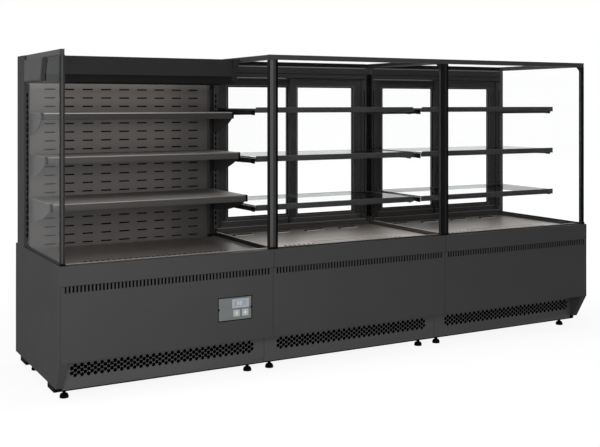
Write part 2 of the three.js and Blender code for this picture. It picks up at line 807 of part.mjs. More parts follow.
// The opening for a leaf's glass, less a clearance all round: left, right, foot and top.
function leafOpening(bay, side, clearance) {
  const [x0, x1] = leafSpan(bay, side);
  const [leftStile, rightStile] = side === 0
    ? [leafOuterStile, leafMeetingStile]
    : [leafMeetingStile, leafOuterStile];
  return [
    x0 + leftStile + clearance, x1 - rightStile - clearance,
    openingFoot + leafFootRail + clearance, openingTop - leafHeadRail - clearance,
  ];
}

function doorLeaf(bay, side) {
  const [x0, x1] = leafSpan(bay, side);
  const y0 = trackFace(leafTracks[side]);
  const opening = rectangle(...leafOpening(bay, side, 0));
  const frame = alongY(rectangle(x0, x1, leafFoot, leafTop), y0, y0 + leafThickness, [opening]);
  const middle = (openingFoot + openingTop) / 2;
  const gripCentre = side === 0 ? x0 + leafOuterStile / 2 : x1 - leafOuterStile / 2;
  const grip = box(
    gripCentre - gripWidth / 2, gripCentre + gripWidth / 2, y0 + leafThickness - sheet,
    y0 + leafThickness + gripDepth, middle - gripLength / 2, middle + gripLength / 2,
  );
  return join(frame, grip);
}

function doorGlass(bay, side) {
  const [x0, x1, z0, z1] = leafOpening(bay, side, fit);
  const middle = trackFace(leafTracks[side]) + leafThickness / 2;
  return box(x0, x1, middle - glassThickness / 2, middle + glassThickness / 2, z0, z1);
}

// Glass shelf in its carrier: a front bar, two tapered arms hooked on the door frame, and the pane on them.
function glassShelf(bay, level) {
  const top = glassShelfTops[level];
  const rear = doorFace - fit;
  const front = doorFace - glassShelfDepth;
  const x0 = bayStart(bay) + glassShelfMargin;
  const x1 = bayStart(bay + 1) - glassShelfMargin;
  const paneFoot = top - glassThickness;
  const arm = (x) => alongX(
    [
      [front + sheet, paneFoot + sheet / 2], [front + sheet, top - shelfBar + lap],
      [rear, paneFoot - shelfArm], [rear, paneFoot + sheet / 2],
    ],
    x, x + bracketThickness,
  );
  return join(
    box(x0 + lap, x1 - lap, front + shelfBarDepth / 2, rear - fit, paneFoot, top),
    box(x0, x1, front, front + shelfBarDepth, top - shelfBar, top - lap),
    arm(x0 + 2 * lap),
    arm(x1 - 2 * lap - bracketThickness),
  );
}

// ---- Controller ---------------------------------------------------------------------------------------

const controllerFace = controllerRecess;
const controllerBack = sheet + fit + controllerThickness;
const buttonSpan = (index) => {
  const x = controller.x0 + buttonLeft + index * buttonPitch;
  const z = controller.z0 + buttonFoot;
  return [x, x + buttonWidth, z, z + buttonHeight];
};

function controllerPlate() {
  const { x0, x1, z0, z1 } = controller;
  const rim = controllerFlange;
  const body = join(
    box(x0, x1, controllerFace, controllerBack, z0, z1),
    box(x0 - rim, x1 + rim, sheet + fit, controllerBack, z0 - rim, z1 + rim),
  );
  const wells = [0, 1].map((index) => {
    const [a, b, c, d] = buttonSpan(index);
    return box(
      a - buttonGap, b + buttonGap, controllerFace - sheet, controllerBack + sheet,
      c - buttonGap, d + buttonGap,
    );
  });
  return cut(body, ...wells);
}

function button(index) {
  const [x0, x1, z0, z1] = buttonSpan(index);
  const back = controllerBack + fit;
  const rim = buttonFlange;
  return join(
    box(x0, x1, 0, back + sheet, z0, z1),
    box(x0 - rim, x1 + rim, back, back + sheet, z0 - rim, z1 + rim),
  );
}

// ---- Cooling unit -------------------------------------------------------------------------------------

const machineFloor = panelFoot + fit + sheet;

// Hermetic compressor can on its mounting plate.
function compressor() {
  const [x, y] = compressorCentre;
  const foot = machineFloor + fit;
  const reach = compressorRadius + compressorPlateMargin;
  const plate = box(
    x - reach, x + reach, y - compressorRadius, y + compressorRadius, foot, foot + compressorPlateThickness,
  );
  const profile = [
    [0, 0], [compressorNeckRadius, 0], [compressorRadius, compressorFlare],
    [compressorRadius, compressorHeight - compressorShoulder],
    [compressorNeckRadius, compressorHeight - compressorCapDrop],
    [compressorCapRadius, compressorHeight], [0, compressorHeight],
  ];
  const can = new THREE.LatheGeometry(profile.map(([r, z]) => new THREE.Vector2(r, z)), largeRound)
    .rotateX(Math.PI / 2)
    .translate(x, y, foot + compressorPlateThickness - sheet);
  return join(plate, can);
}

const disc = (x, z, radius, y0, y1, sides) => alongY(polygon(x, z, radius, sides), y0, y1);

const condenserMiddle = machineFloor + fit + condenserHeight / 2;
const shroudFront = condenserSetback + condenserDepth;
const fanFront = shroudFront + fanInset;
const fanBack = fanFront + fanHubLength;

// Coil block, fan shroud and the fan motor on its cross arm.
function condenser() {
  const x = condenserCentre;
  const z = condenserMiddle;
  const half = condenserWidth / 2;
  const rise = condenserHeight / 2;
  const block = box(x - half, x + half, condenserSetback, shroudFront, z - rise, z + rise);
  const plate = alongY(
    rectangle(x - half + lap, x + half - lap, z - rise + lap, z + rise - lap),
    shroudFront - sheet, shroudFront + shroudDepth, [polygon(x, z, fanRadius + fanTipGap, largeRound)],
  );
  const motorFront = fanBack + fit;
  const motor = disc(x, z, motorRadius, motorFront, motorFront + motorLength, middleRound);
  const armFront = shroudFront + shroudDepth - sheet;
  const armHalf = motorArmWidth / 2;
  const arm = box(
    x - half + 2 * lap, x + half - 2 * lap, armFront, armFront + motorArmWidth, z - armHalf, z + armHalf,
  );
  return join(block, plate, motor, arm);
}

// Axial fan: a hub with pitched blades, turning about Y. The blades start inside the hub.
function axialFan(x, z, hub, radius, y0, y1) {
  const parts = [disc(x, z, hub, y0, y1, middleRound)];
  const reach = radius - hub / 2;
  for (let i = 0; i < bladeCount; i++) {
    const blade = new THREE.BoxGeometry(reach, bladeThickness, (y1 - y0) * bladeChord)
      .rotateX(Math.PI / 2 + bladePitch)
      .translate((hub / 2 + radius) / 2, 0, 0)
      .rotateY((2 * Math.PI * i) / bladeCount)
      .translate(x, (y0 + y1) / 2, z);
    parts.push(blade);
  }
  const trim = disc(x, z, radius, y0, y1, largeRound);
  return geometryOf(union(parts).intersect(solid(trim)));
}

const condenserFan = () =>
  axialFan(condenserCentre, condenserMiddle, fanHubRadius, fanRadius, fanFront, fanBack);

const evaporatorFoot = tankFloor + fit;
const evaporatorMiddle = evaporatorFoot + evaporatorHeight / 2;
const evaporatorFanX = evaporatorInset + evaporatorLength / 2;
const evaporatorFanBack = evaporatorSetback - fit - sheet;
const evaporatorFanFront = evaporatorFanBack - evaporatorShroudDepth + 2 * sheet;

// Finned coil lying in the tank, with a fan plate in front of it and a stub shaft on the coil's face.
function evaporator() {
  const x0 = evaporatorInset;
  const x1 = x0 + evaporatorLength;
  const top = evaporatorFoot + evaporatorHeight;
  const block = box(x0, x1, evaporatorSetback, evaporatorSetback + evaporatorDepth, evaporatorFoot, top);
  const shroud = alongY(
    rectangle(x0 + lap, x1 - lap, evaporatorFoot + lap, top - lap),
    evaporatorSetback - evaporatorShroudDepth, evaporatorSetback + sheet,
    [polygon(evaporatorFanX, evaporatorMiddle, evaporatorFanRadius + evaporatorFanGap, largeRound)],
  );
  const shaft = disc(
    evaporatorFanX, evaporatorMiddle, evaporatorFanHub / 2, evaporatorFanBack + fit,
    evaporatorSetback + sheet, smallRound,
  );
  return join(block, shroud, shaft);
}

const evaporatorFan = () => axialFan(
  evaporatorFanX, evaporatorMiddle, evaporatorFanHub, evaporatorFanRadius, evaporatorFanFront,
  evaporatorFanBack,
);

// ---- Assembly -----------------------------------------------------------------------------------------

add('front_chassis_rail', chassisRail(kickBack + fit), materials.chassis);
add('rear_chassis_rail', chassisRail(baseDepth - rearRailInset - railDepth), materials.chassis);
add('base_shell', baseShell(), materials.casing);
add('side_panel_left', sidePanel(0), materials.casing);
add('side_panel_right', sidePanel(length - sidePanelThickness), materials.casing);
add('upper_fascia', upperFascia(), materials.casing);
add('insulated_tank', insulatedTank(), materials.foam);
for (let bay = 0; bay < bayCount; bay++) {
  add(`front_panel_${bay + 1}`, frontPanel(bay), materials.casing);
  add(`kick_grille_${bay + 1}`, kickGrille(bay), materials.casing);
  add(`deck_tray_${bay + 1}`, deckTray(bay), materials.liner);
}
for (let index = 0; index <= bayCount; index++) {
  add(`side_frame_${index}`, sideFrame(index), materials.frame);
  add(`side_glass_${index}`, sideGlass(index), materials.glass);
}
add('top_front_rail', topFrontRail(), materials.frame);

add('insulated_rear_wall', box(
  wallLeft, wallRight, rearFace - insulationDepth, rearFace, upperFoot, canopyTop,
), materials.foam);
add('slotted_back_panel', slottedBackPanel(), materials.liner);
add('canopy', canopy(), materials.frame);
add('canopy_lamp', canopyLamp(), materials.lamp);
for (let level = 0; level < shelfTops.length; level++) {
  add(`shelf_1_${level + 1}`, shelf(level), materials.liner);
}

for (let bay = 1; bay < bayCount; bay++) {
  add(`front_glass_${bay + 1}`, frontGlass(bay), materials.glass);
  add(`top_glass_${bay + 1}`, topGlass(bay), materials.glass);
  add(`door_frame_${bay + 1}`, doorFrame(bay), materials.frame);
  ['left', 'right'].forEach((name, side) => {
    add(`door_leaf_${bay + 1}_${name}`, doorLeaf(bay, side), materials.frame);
    add(`door_glass_${bay + 1}_${name}`, doorGlass(bay, side), materials.glass);
  });
  for (let level = 0; level < glassShelfTops.length; level++) {
    add(`glass_shelf_${bay + 1}_${level + 1}`, glassShelf(bay, level), materials.glass);
  }
}

add('controller_plate', controllerPlate(), materials.plastic);
add('set_button', button(0), materials.button);
add('light_button', button(1), materials.button);

add('compressor', compressor(), materials.copper);
add('condenser', condenser(), materials.coil);
add('condenser_fan', condenserFan(), materials.black);
add('evaporator', evaporator(), materials.coil);
add('evaporator_fan', evaporatorFan(), materials.black);

export default line;
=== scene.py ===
"""Looks of a refrigerated display line-up of three joined bays: camera, light, finishes and fine pieces.

Metres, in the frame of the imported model: X along the length, Y towards the back, Z up. The fine pieces are
drawn in millimetres from the front left floor corner, and place() carries them into that frame.
"""

import math

import bmesh
import bpy
from mathutils import Matrix, Vector


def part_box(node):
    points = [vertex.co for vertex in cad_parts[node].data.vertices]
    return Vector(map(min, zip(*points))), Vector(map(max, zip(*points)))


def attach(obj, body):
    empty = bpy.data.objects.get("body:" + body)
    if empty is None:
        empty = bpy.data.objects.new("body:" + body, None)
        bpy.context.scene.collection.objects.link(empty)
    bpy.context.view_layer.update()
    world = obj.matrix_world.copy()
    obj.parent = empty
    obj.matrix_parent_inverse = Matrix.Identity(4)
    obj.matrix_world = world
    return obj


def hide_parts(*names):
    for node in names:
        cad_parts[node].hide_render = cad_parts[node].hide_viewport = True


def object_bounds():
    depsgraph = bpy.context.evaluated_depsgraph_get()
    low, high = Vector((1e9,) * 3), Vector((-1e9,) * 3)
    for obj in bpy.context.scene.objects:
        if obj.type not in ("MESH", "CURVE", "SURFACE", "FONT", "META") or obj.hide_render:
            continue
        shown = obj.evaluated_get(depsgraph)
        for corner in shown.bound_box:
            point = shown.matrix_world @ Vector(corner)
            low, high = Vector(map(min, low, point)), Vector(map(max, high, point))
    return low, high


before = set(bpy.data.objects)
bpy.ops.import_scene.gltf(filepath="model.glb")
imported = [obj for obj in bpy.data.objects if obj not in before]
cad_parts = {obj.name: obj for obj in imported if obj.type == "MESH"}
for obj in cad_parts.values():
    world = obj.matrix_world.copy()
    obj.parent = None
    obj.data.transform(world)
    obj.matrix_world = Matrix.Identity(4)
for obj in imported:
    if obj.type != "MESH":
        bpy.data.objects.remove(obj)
cad_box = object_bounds()

MM = 0.001
CORNER = cad_box[0]  # front left floor corner
LENGTH = (cad_box[1] - cad_box[0]).x / MM
BAY = LENGTH / 3
CABINET = "cabinet"

# The camera, measured from the photograph
CAMERA_PLACE = (-2.325, -3.989, 1.1454)  # metres
CAMERA_PITCH = 90  # degrees
CAMERA_YAW = -28.95
CAMERA_SENSOR = 36
CAMERA_LENS = 58.19
CAMERA_SHIFT = -0.1988
CAMERA_SIGHT = 60  # metres


# ---- Shared helpers ----


def place(x, y, z):
    """A point in millimetres from the front left floor corner, in the frame's metres."""
    return Vector((CORNER.x + x * MM, CORNER.y + y * MM, CORNER.z + z * MM))


def span(node):
    """(x0, x1, y0, y1, z0, z1) of a CAD node, in millimetres from the front left floor corner."""
    low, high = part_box(node)
    low, high = (low - CORNER) / MM, (high - CORNER) / MM
    return low.x, high.x, low.y, high.y, low.z, high.z


def finish_piece(piece, material, body=CABINET, bevel=0.0, replaces=(), smooth=0.0, slot=None):
    """Gives a piece its material, soft edges and body."""
    materials = material if isinstance(material, (list, tuple)) else [material]
    piece.data.materials.clear()
    for m in materials:
        piece.data.materials.append(m)
    if smooth:
        for polygon in piece.data.polygons:
            polygon.use_smooth = True
        piece.data.set_sharp_from_angle(angle=math.radians(smooth))
    if bevel:
        soften(piece, bevel)
    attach(piece, body)
    if replaces:
        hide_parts(*replaces)
    return piece


SOFT_ANGLE = 40  # degrees: an edge that turns more than this is softened
SOFT_SEGMENTS = 2


def soften(piece, width):
    edge = piece.modifiers.new("soft_edges", "BEVEL")
    edge.width = width * MM
    edge.segments = SOFT_SEGMENTS
    edge.limit_method = "ANGLE"
    edge.angle_limit = math.radians(SOFT_ANGLE)
    edge.use_clamp_overlap = True


def looks_along(face, axis):
    """Whether a face looks along an axis, either way."""
    return abs(face.normal["xyz".index(axis)]) > 0.5


def new_piece(name, data):
    piece = bpy.data.objects.new(name, data)
    bpy.context.scene.collection.objects.link(piece)
    return piece


BOX_FACES = ((0, 2, 3, 1), (4, 5, 7, 6), (0, 1, 5, 4), (2, 6, 7, 3), (0, 4, 6, 2), (1, 3, 7, 5))


def boxes(name, spans, material, **finish):
    """One piece of several boxes, each (x0, x1, y0, y1, z0, z1) in millimetres."""
    bm = bmesh.new()
    for x0, x1, y0, y1, z0, z1 in spans:
        corners = [bm.verts.new(place(x, y, z)) for z in (z0, z1) for y in (y0, y1) for x in (x0, x1)]
        for face in BOX_FACES:
            bm.faces.new([corners[i] for i in face])
    mesh = bpy.data.meshes.new(name)
    bm.to_mesh(mesh)
    bm.free()
    return finish_piece(new_piece(name, mesh), material, **finish)


AXES = {
    "x": Matrix(((0, 0, 1), (1, 0, 0), (0, 1, 0))),  # outline in Y and Z
    "y": Matrix(((1, 0, 0), (0, 0, -1), (0, 1, 0))),  # outline in X and Z
    "z": Matrix.Identity(3),  # outline in X and Y
}


def slab(name, axis, low, high, outlines, material, **finish):
    """A flat piece between low and high along axis. The outlines are closed, and an inner one is a hole."""
    curve = bpy.data.curves.new(name, "CURVE")
    curve.dimensions = "2D"
    curve.fill_mode = "BOTH"
    curve.extrude = (high - low) / 2
    for outline in outlines:
        spline = curve.splines.new("POLY")
        spline.points.add(len(outline) - 1)
        for point, (u, v) in zip(spline.points, outline):
            point.co = (u, v, 0, 1)
        spline.use_cyclic_u = True
    pattern = new_piece(name, curve)
    shown = pattern.evaluated_get(bpy.context.evaluated_depsgraph_get())
    mesh = bpy.data.meshes.new_from_object(shown)
    bpy.data.objects.remove(pattern)
    bpy.data.curves.remove(curve)
    middle = Vector((0, 0, (low + high) / 2))
    turn = AXES[axis]
    flip = -1 if axis == "y" else 1
    for vertex in mesh.vertices:
        vertex.co = place(*(turn @ (vertex.co + flip * middle)))
    weld(mesh)
    return finish_piece(new_piece(name, mesh), material, **finish)


WELD = 0.01  # millimetres


def weld(mesh):
    bm = bmesh.new()
    bm.from_mesh(mesh)
    bmesh.ops.remove_doubles(bm, verts=bm.verts, dist=WELD * MM)
    bmesh.ops.recalc_face_normals(bm, faces=bm.faces)
    bm.to_mesh(mesh)
    bm.free()


def rectangle(u0, u1, v0, v1):
    return [(u0, v0), (u1, v0), (u1, v1), (u0, v1)]


def rounded(u0, u1, v0, v1, radius, steps=4):
    """A rectangle with round corners."""
    points = []
    for cu, cv, start in ((u1, v1, 0), (u0, v1, 90), (u0, v0, 180), (u1, v0, 270)):
        mid_u = cu - radius if cu == u1 else cu + radius
        mid_v = cv - radius if cv == v1 else cv + radius
        for i in range(steps + 1):
            angle = math.radians(start + 90 * i / steps)
            points.append((mid_u + radius * math.cos(angle), mid_v + radius * math.sin(angle)))
    return points


def ring(name, axis, low, high, outer, width, material, **finish):
    """A flat frame: outer is (u0, u1, v0, v1), and width the same on all four sides."""
    u0, u1, v0, v1 = outer
    inner = rectangle(u0 + width, u1 - width, v0 + width, v1 - width)
    return slab(name, axis, low, high, [rectangle(*outer), inner], material, **finish)


def round_slot(u, v, width, height, steps=5):
    """A slot with half-round ends, centred on u, v and lying along u, or along v where it is taller."""
    radius = min(width, height) / 2
    reach = abs(width - height) / 2
    points = []
    for end in (1, -1):
        for i in range(steps + 1):
            turn = math.pi * (i / steps - 0.5)
            along = end * (reach + radius * math.cos(turn))
            across = end * radius * math.sin(turn)
            points.append((u + along, v + across) if width > height else (u - across, v + along))
    return points


def polygon(u, v, radius, sides, turn=0.0):
    """A regular polygon round u, v, turned by an angle in radians."""
    angles = [turn + 2 * math.pi * i / sides for i in range(sides)]
    return [(u + radius * math.cos(angle), v + radius * math.sin(angle)) for angle in angles]


def turned(name, profile, centre, sides, material, **finish):
    """A piece turned round a line along Y. The profile is (radius, depth) from centre, in millimetres."""
    bm = bmesh.new()
    angles = [2 * math.pi * i / sides for i in range(sides)]
    rings = []
    for radius, depth in profile:
        points = [Vector((radius * math.cos(angle), depth, -radius * math.sin(angle))) for angle in angles]
        rings.append([bm.verts.new(place(*(point + Vector(centre)))) for point in points])
    for lower, upper in zip(rings, rings[1:]):
        for i in range(sides):
            j = (i + 1) % sides
            bm.faces.new((lower[i], lower[j], upper[j], upper[i]))
    bm.faces.new(list(reversed(rings[0])))
    bm.faces.new(rings[-1])
    mesh = bpy.data.meshes.new(name)
    bmesh.ops.recalc_face_normals(bm, faces=bm.faces)
    bm.to_mesh(mesh)
    bm.free()
    return finish_piece(new_piece(name, mesh), material, **finish)


# ---- Materials ----


def add_node(tree, kind, sockets=None, operation=None):
    """A shader node. Each of the sockets takes a value, or the output that feeds it."""
    node = tree.nodes.new(f"ShaderNode{kind}")
    if operation:
        node.operation = operation
    for key, value in (sockets or {}).items():
        if isinstance(value, bpy.types.NodeSocket):
            tree.links.new(value, node.inputs[key])
        else:
            node.inputs[key].default_value = value
    return node


def blank_tree(owner):
    """The emptied node tree of a material or a world."""
    owner.use_nodes = True
    owner.node_tree.nodes.clear()
    return owner.node_tree


def show_mix(tree, share, first, second, output):
    """Shows a share of the second shader over the first."""
    mix = add_node(tree, "MixShader", {"Fac": share, 1: first.outputs[0], 2: second.outputs[0]})
    add_node(tree, output, {"Surface": mix.outputs["Shader"]})


class Finish:
    """A Principled material with object coordinates, built up by the calls below."""

    def __init__(self, name, roughness, metallic=0.0, specular=0.5):
        self.material = bpy.data.materials.new(name)
        self.material.use_nodes = True
        self.tree = self.material.node_tree
        self.shader = self.tree.nodes["Principled BSDF"]
        for key, value in (("Roughness", roughness), ("Metallic", metallic), ("Specular IOR Level", specular)):
            self.shader.inputs[key].default_value = value
        self.place = add_node(self.tree, "TexCoord").outputs["Object"]

    def feed(self, socket, source):
        self.tree.links.new(source, self.shader.inputs[socket])

    def noise(self, scale, detail, stretch=None):
        source = self.place
        if stretch:
            source = add_node(self.tree, "Mapping", {"Vector": source, "Scale": stretch}).outputs["Vector"]
        return add_node(self.tree, "TexNoise", {"Vector": source, "Scale": scale, "Detail": detail}).outputs["Fac"]

    def ramp(self, source, stops):
        node = add_node(self.tree, "ValToRGB", {"Fac": source})
        while len(node.color_ramp.elements) < len(stops):
            node.color_ramp.elements.new(0.5)
        for element, (position, colour) in zip(node.color_ramp.elements, stops):
            element.position = position
            element.color = (*colour, 1)
        return node.outputs["Color"]

    def remap(self, source, spans):
        """Carries values from one span to another. The spans are low and high before, and low and high after."""
        names = ("From Min", "From Max", "To Min", "To Max")
        return add_node(self.tree, "MapRange", {"Value": source, **dict(zip(names, spans))})

    def mottle(self, colour, spread=0.06, scale=2.5):
        """The base colour, drifting a little over the surface."""
        dark = tuple(c * (1 - spread) for c in colour)
        pale = tuple(c * (1 + spread) for c in colour)
        self.feed("Base Color", self.ramp(self.noise(scale, 3), [(0.3, dark), (0.7, pale)]))

    def vary_roughness(self, low, high, scale=9.0):
        self.feed("Roughness", self.remap(self.noise(scale, 3), (0, 1, low, high)).outputs["Result"])

    def bump(self, source, strength, distance):
        sockets = {"Height": source, "Strength": strength, "Distance": distance * MM}
        self.feed("Normal", add_node(self.tree, "Bump", sockets).outputs["Normal"])


def powder_coat(name, colour, roughness, grain=0.25, specular=0.15):
    """Powder-coated steel: a fine orange-peel grain and a faint drift in colour."""
    finish = Finish(name, roughness, specular=specular)
    finish.mottle(colour)
    finish.vary_roughness(roughness - 0.05, roughness + 0.06)
    finish.bump(finish.noise(1500, 2), strength=grain, distance=0.12)
    return finish.material


def moulded_plastic(name, colour, roughness):
    finish = Finish(name, roughness)
    finish.mottle(colour, spread=0.04, scale=30)
    finish.vary_roughness(roughness - 0.04, roughness + 0.05, scale=60)
    finish.bump(finish.noise(2600, 2), strength=0.2, distance=0.06)
    return finish.material


def rubber(name, colour):
    finish = Finish(name, 0.75, specular=0.25)
    finish.mottle(colour, spread=0.15, scale=60)
    finish.bump(finish.noise(1800, 3), strength=0.4, distance=0.1)
    return finish.material


def brushed_metal(name, colour, roughness):
    finish = Finish(name, roughness, metallic=1.0)
    along_x = (0.02, 1, 1)
    dark = tuple(c * 0.86 for c in colour)
    finish.feed("Base Color", finish.ramp(finish.noise(260, 3, along_x), [(0.35, dark), (0.65, colour)]))
    finish.vary_roughness(roughness - 0.05, roughness + 0.08, scale=40)
    finish.bump(finish.noise(900, 2, along_x), strength=0.12, distance=0.05)
    return finish.material


def finned_coil(name, gap, fin):
    """Aluminium fins seen edge on: close vertical lines."""
    finish = Finish(name, 0.4, metallic=0.9)
    wave = add_node(finish.tree, "TexWave", {"Vector": finish.place, "Scale": 150})
    wave.wave_type = "BANDS"
    wave.bands_direction = "X"
    finish.feed("Base Color", finish.ramp(wave.outputs["Fac"], [(0.25, gap), (0.7, fin)]))
    finish.bump(wave.outputs["Fac"], strength=0.8, distance=0.8)
    return finish.material


def clear_glass(name, mirror, tint):
    """A clear pane that doesn't bend light: it lets light through, and shines by its angle, faintly wiped.
    Mirror is the index that sets how strongly it shines."""
    material = bpy.data.materials.new(name)
    tree = blank_tree(material)
    through = add_node(tree, "BsdfTransparent", {"Color": (*tint, 1)})
    smear = add_node(tree, "TexNoise", {"Vector": add_node(tree, "TexCoord").outputs["Object"], "Scale": 4})
    wipe = add_node(tree, "ValToRGB", {"Fac": smear.outputs["Fac"]})
    wipe.color_ramp.elements[0].color = (0.86, 0.89, 0.9, 1)
    wipe.color_ramp.elements[1].color = (0.97, 0.98, 0.98, 1)
    shine = add_node(tree, "BsdfGlossy", {"Color": wipe.outputs["Color"], "Roughness": 0.02})
    angle = add_node(tree, "Fresnel", {"IOR": mirror}).outputs["Fac"]
    inside = add_node(tree, "NewGeometry").outputs["Backfacing"]
    outside = add_node(tree, "Math", {0: 1, 1: inside}, "SUBTRACT").outputs["Value"]
    share = add_node(tree, "Math", {0: angle, 1: outside}, "MULTIPLY").outputs["Value"]
    show_mix(tree, share, through, shine, "OutputMaterial")
    return material


def glass_edge(name, colour):
    """The ground edge of a pane: nearly black."""
    finish = Finish(name, 0.35, specular=0.6)
    finish.mottle(colour, spread=0.2, scale=40)
    finish.bump(finish.noise(700, 2), strength=0.2, distance=0.1)
    return finish.material


def opal(name, colour):
    """A lamp's diffuser, unlit."""
    finish = Finish(name, 0.4)
    finish.mottle(colour, spread=0.03, scale=20)
    return finish.material


def painted_light_liner(name, axis, stops, shade=None):
    """Coated steel with painted light: its tone is graded along an axis to stand in for light and shade. The stops
    are (place in mm, colour), and shade is (start, end, share): from start to end along X the colour falls to that
    share, as painted shade."""
    finish = Finish(name, 0.42, specular=0.3)
    split = add_node(finish.tree, "SeparateXYZ", {"Vector": finish.place})
    origin = CORNER["XYZ".index(axis)]
    low, high = stops[0][0], stops[-1][0]
    reach = finish.remap(split.outputs[axis], (origin + low * MM, origin + high * MM))
    tone = finish.ramp(reach.outputs["Result"], [((at - low) / (high - low), colour) for at, colour in stops])
    if shade:
        start, end, share = shade
        fall = finish.remap(split.outputs["X"], (CORNER.x + start * MM, CORNER.x + end * MM, 1, share))
        fall.interpolation_type = "SMOOTHSTEP"
        sockets = {"Vector": tone, "Scale": fall.outputs["Result"]}
        tone = add_node(finish.tree, "VectorMath", sockets, "SCALE").outputs["Vector"]
    finish.feed("Base Color", tone)
    finish.vary_roughness(0.36, 0.5)
    finish.bump(finish.noise(1500, 2), strength=0.2, distance=0.12)
    return finish.material


CASING = powder_coat("charcoal_coat", (0.037, 0.037, 0.0375), 0.5, specular=0.12)
SIDE_COAT = powder_coat("side_coat", (0.046, 0.046, 0.0465), 0.55, specular=0.015)
KICK = powder_coat("kick_plate_coat", (0.062, 0.062, 0.063), 0.5)
FRAME = powder_coat("black_coat", (0.010, 0.010, 0.0103), 0.45, specular=0.07)
# Near black for seams, and painted shade: the dark strips on the door frames' heads, the posts' grooves, and the
# covers of the right-hand posts where less light falls.
DARK_SEAM_AND_SHADE = powder_coat("seam_black_and_painted_shade", (0.004, 0.004, 0.0041), 0.5, specular=0.04)
EDGE_COVER = powder_coat("edge_cover", (0.046, 0.046, 0.0465), 0.5, specular=0.04)
# Painted light: the first middle post's cover is a lit copy, lighter than the same cover on the posts further
# right.
POST_COVER_LIT = powder_coat("post_cover_lit", (0.062, 0.062, 0.0625), 0.42, specular=0.1)
FRAME_PALE = powder_coat("charcoal_profile", (0.030, 0.030, 0.0305), 0.42, specular=0.1)
# Painted highlights: thin pale lines on the edges of bars, door leaves and door frames, where light catches them.
HIGHLIGHT_LINE = powder_coat("painted_highlight_line", (0.17, 0.17, 0.17), 0.4)
CANOPY = powder_coat("canopy_black", (0.013, 0.013, 0.0132), 0.5, specular=0.08)
# Painted shade along the canopy's recessed foot band; the same black covers the lamp channel.
CANOPY_BLACK_AND_SHADE = powder_coat("canopy_black_and_painted_shade", (0.006, 0.0055, 0.0053), 0.6, specular=0.05)
SHELF_DARK = powder_coat("shelf_charcoal", (0.026, 0.0253, 0.0245), 0.45, specular=0.08)
END_COVER = powder_coat("end_cover", (0.024, 0.024, 0.0243), 0.45, specular=0.1)
BRACKET = powder_coat("bracket_charcoal", (0.026, 0.025, 0.0245), 0.45, specular=0.08)
DOOR = powder_coat("door_profile", (0.026, 0.025, 0.0245), 0.5, grain=0.08, specular=0.06)
DOOR_WARM = powder_coat("door_frame_coat", (0.048, 0.043, 0.040), 0.5, grain=0.1, specular=0.1)
# Painted highlight on the lips of the deck's air louvres and on the edge of the joint trim.
LIP_HIGHLIGHT = powder_coat("painted_highlight_lip", (0.55, 0.52, 0.49), 0.35, grain=0.1, specular=0.4)
# Painted light: the shelf plates are lighter at the front and darker towards the rear, where the shelf above
# shades them.
SHELF_TOP = painted_light_liner("shelf_liner_painted_light", "Y", [
    (215, (0.20, 0.184, 0.173)), (300, (0.19, 0.175, 0.165)), (420, (0.16, 0.147, 0.138)),
    (578, (0.09, 0.083, 0.078)),
])
# Painted highlights along the shelves' front edges, brightest on the top shelf.
BEAD_HIGHLIGHTS = [  # from the lowest shelf up
    powder_coat("shelf_bead_painted_highlight_low", (0.20, 0.19, 0.182), 0.4, grain=0.18, specular=0.35),
    powder_coat("shelf_bead_painted_highlight_middle", (0.20, 0.19, 0.182), 0.4, grain=0.18, specular=0.35),
    powder_coat("shelf_bead_painted_highlight_high", (0.32, 0.305, 0.293), 0.4, grain=0.18, specular=0.4),
]
# Painted light: a lighter copy of shelf_charcoal for the lips of the lowest and middle shelves.
LIP_LIT = powder_coat("shelf_lip_painted_light", (0.043, 0.041, 0.040), 0.45, specular=0.08)
# Black of caps, tips, washers and foot blocks, and painted shade in the mouths of the deck's air louvres.
CAP_AND_SHADE = powder_coat("cap_black_and_painted_shade", (0.003, 0.003, 0.003), 0.6, specular=0.03)
# Painted highlight: the deck's front lip on the fascia's ledge, bright for the light caught on its edge.
LEDGE_HIGHLIGHT = powder_coat("ledge_painted_highlight", (0.21, 0.198, 0.188), 0.4, grain=0.18, specular=0.4)
DECK = powder_coat("deck_liner", (0.115, 0.103, 0.095), 0.32, grain=0.03, specular=0.5)
# Painted light and reflection: the glazed bays' deck is bright at the front and falls into shade towards the doors
# at the back; a lit copy of deck_liner.
DECK_PAINTED_LIGHT = painted_light_liner("glazed_deck_painted_light", "Y", [
    (60, (0.70, 0.64, 0.60)), (250, (0.66, 0.60, 0.555)), (380, (0.52, 0.467, 0.431)), (470, (0.36, 0.323, 0.298)),
    (720, (0.09, 0.081, 0.075)),
])
# Black of the insulated tank and the dark edges of panels and wall, and painted shade on the cut edges of the
# deck's air holes.
TANK_AND_SHADE = powder_coat("tank_black_and_painted_shade", (0.004, 0.004, 0.004), 0.7, specular=0.03)
# Painted shade: a black sheet behind holes and slots and in a groove, where there is only shade.
SHADE_BLACK = powder_coat("painted_shade_black", (0.001, 0.001, 0.001), 0.9, specular=0.0)
# Painted light: a glow just under the canopy where its lamp falls, darker lower down, and painted shade falling
# off towards the bay's right end.
WALL = painted_light_liner("wall_liner_painted_light", "Z", [
    (500, (0.068, 0.061, 0.058)), (900, (0.088, 0.0795, 0.0755)), (1150, (0.120, 0.108, 0.102)),
    (1205, (0.135, 0.122, 0.115)), (1236, (0.30, 0.28, 0.265)),
], shade=(600, 810, 0.55))
CHASSIS = powder_coat("chassis_black", (0.003, 0.003, 0.0031), 0.6, specular=0.01)
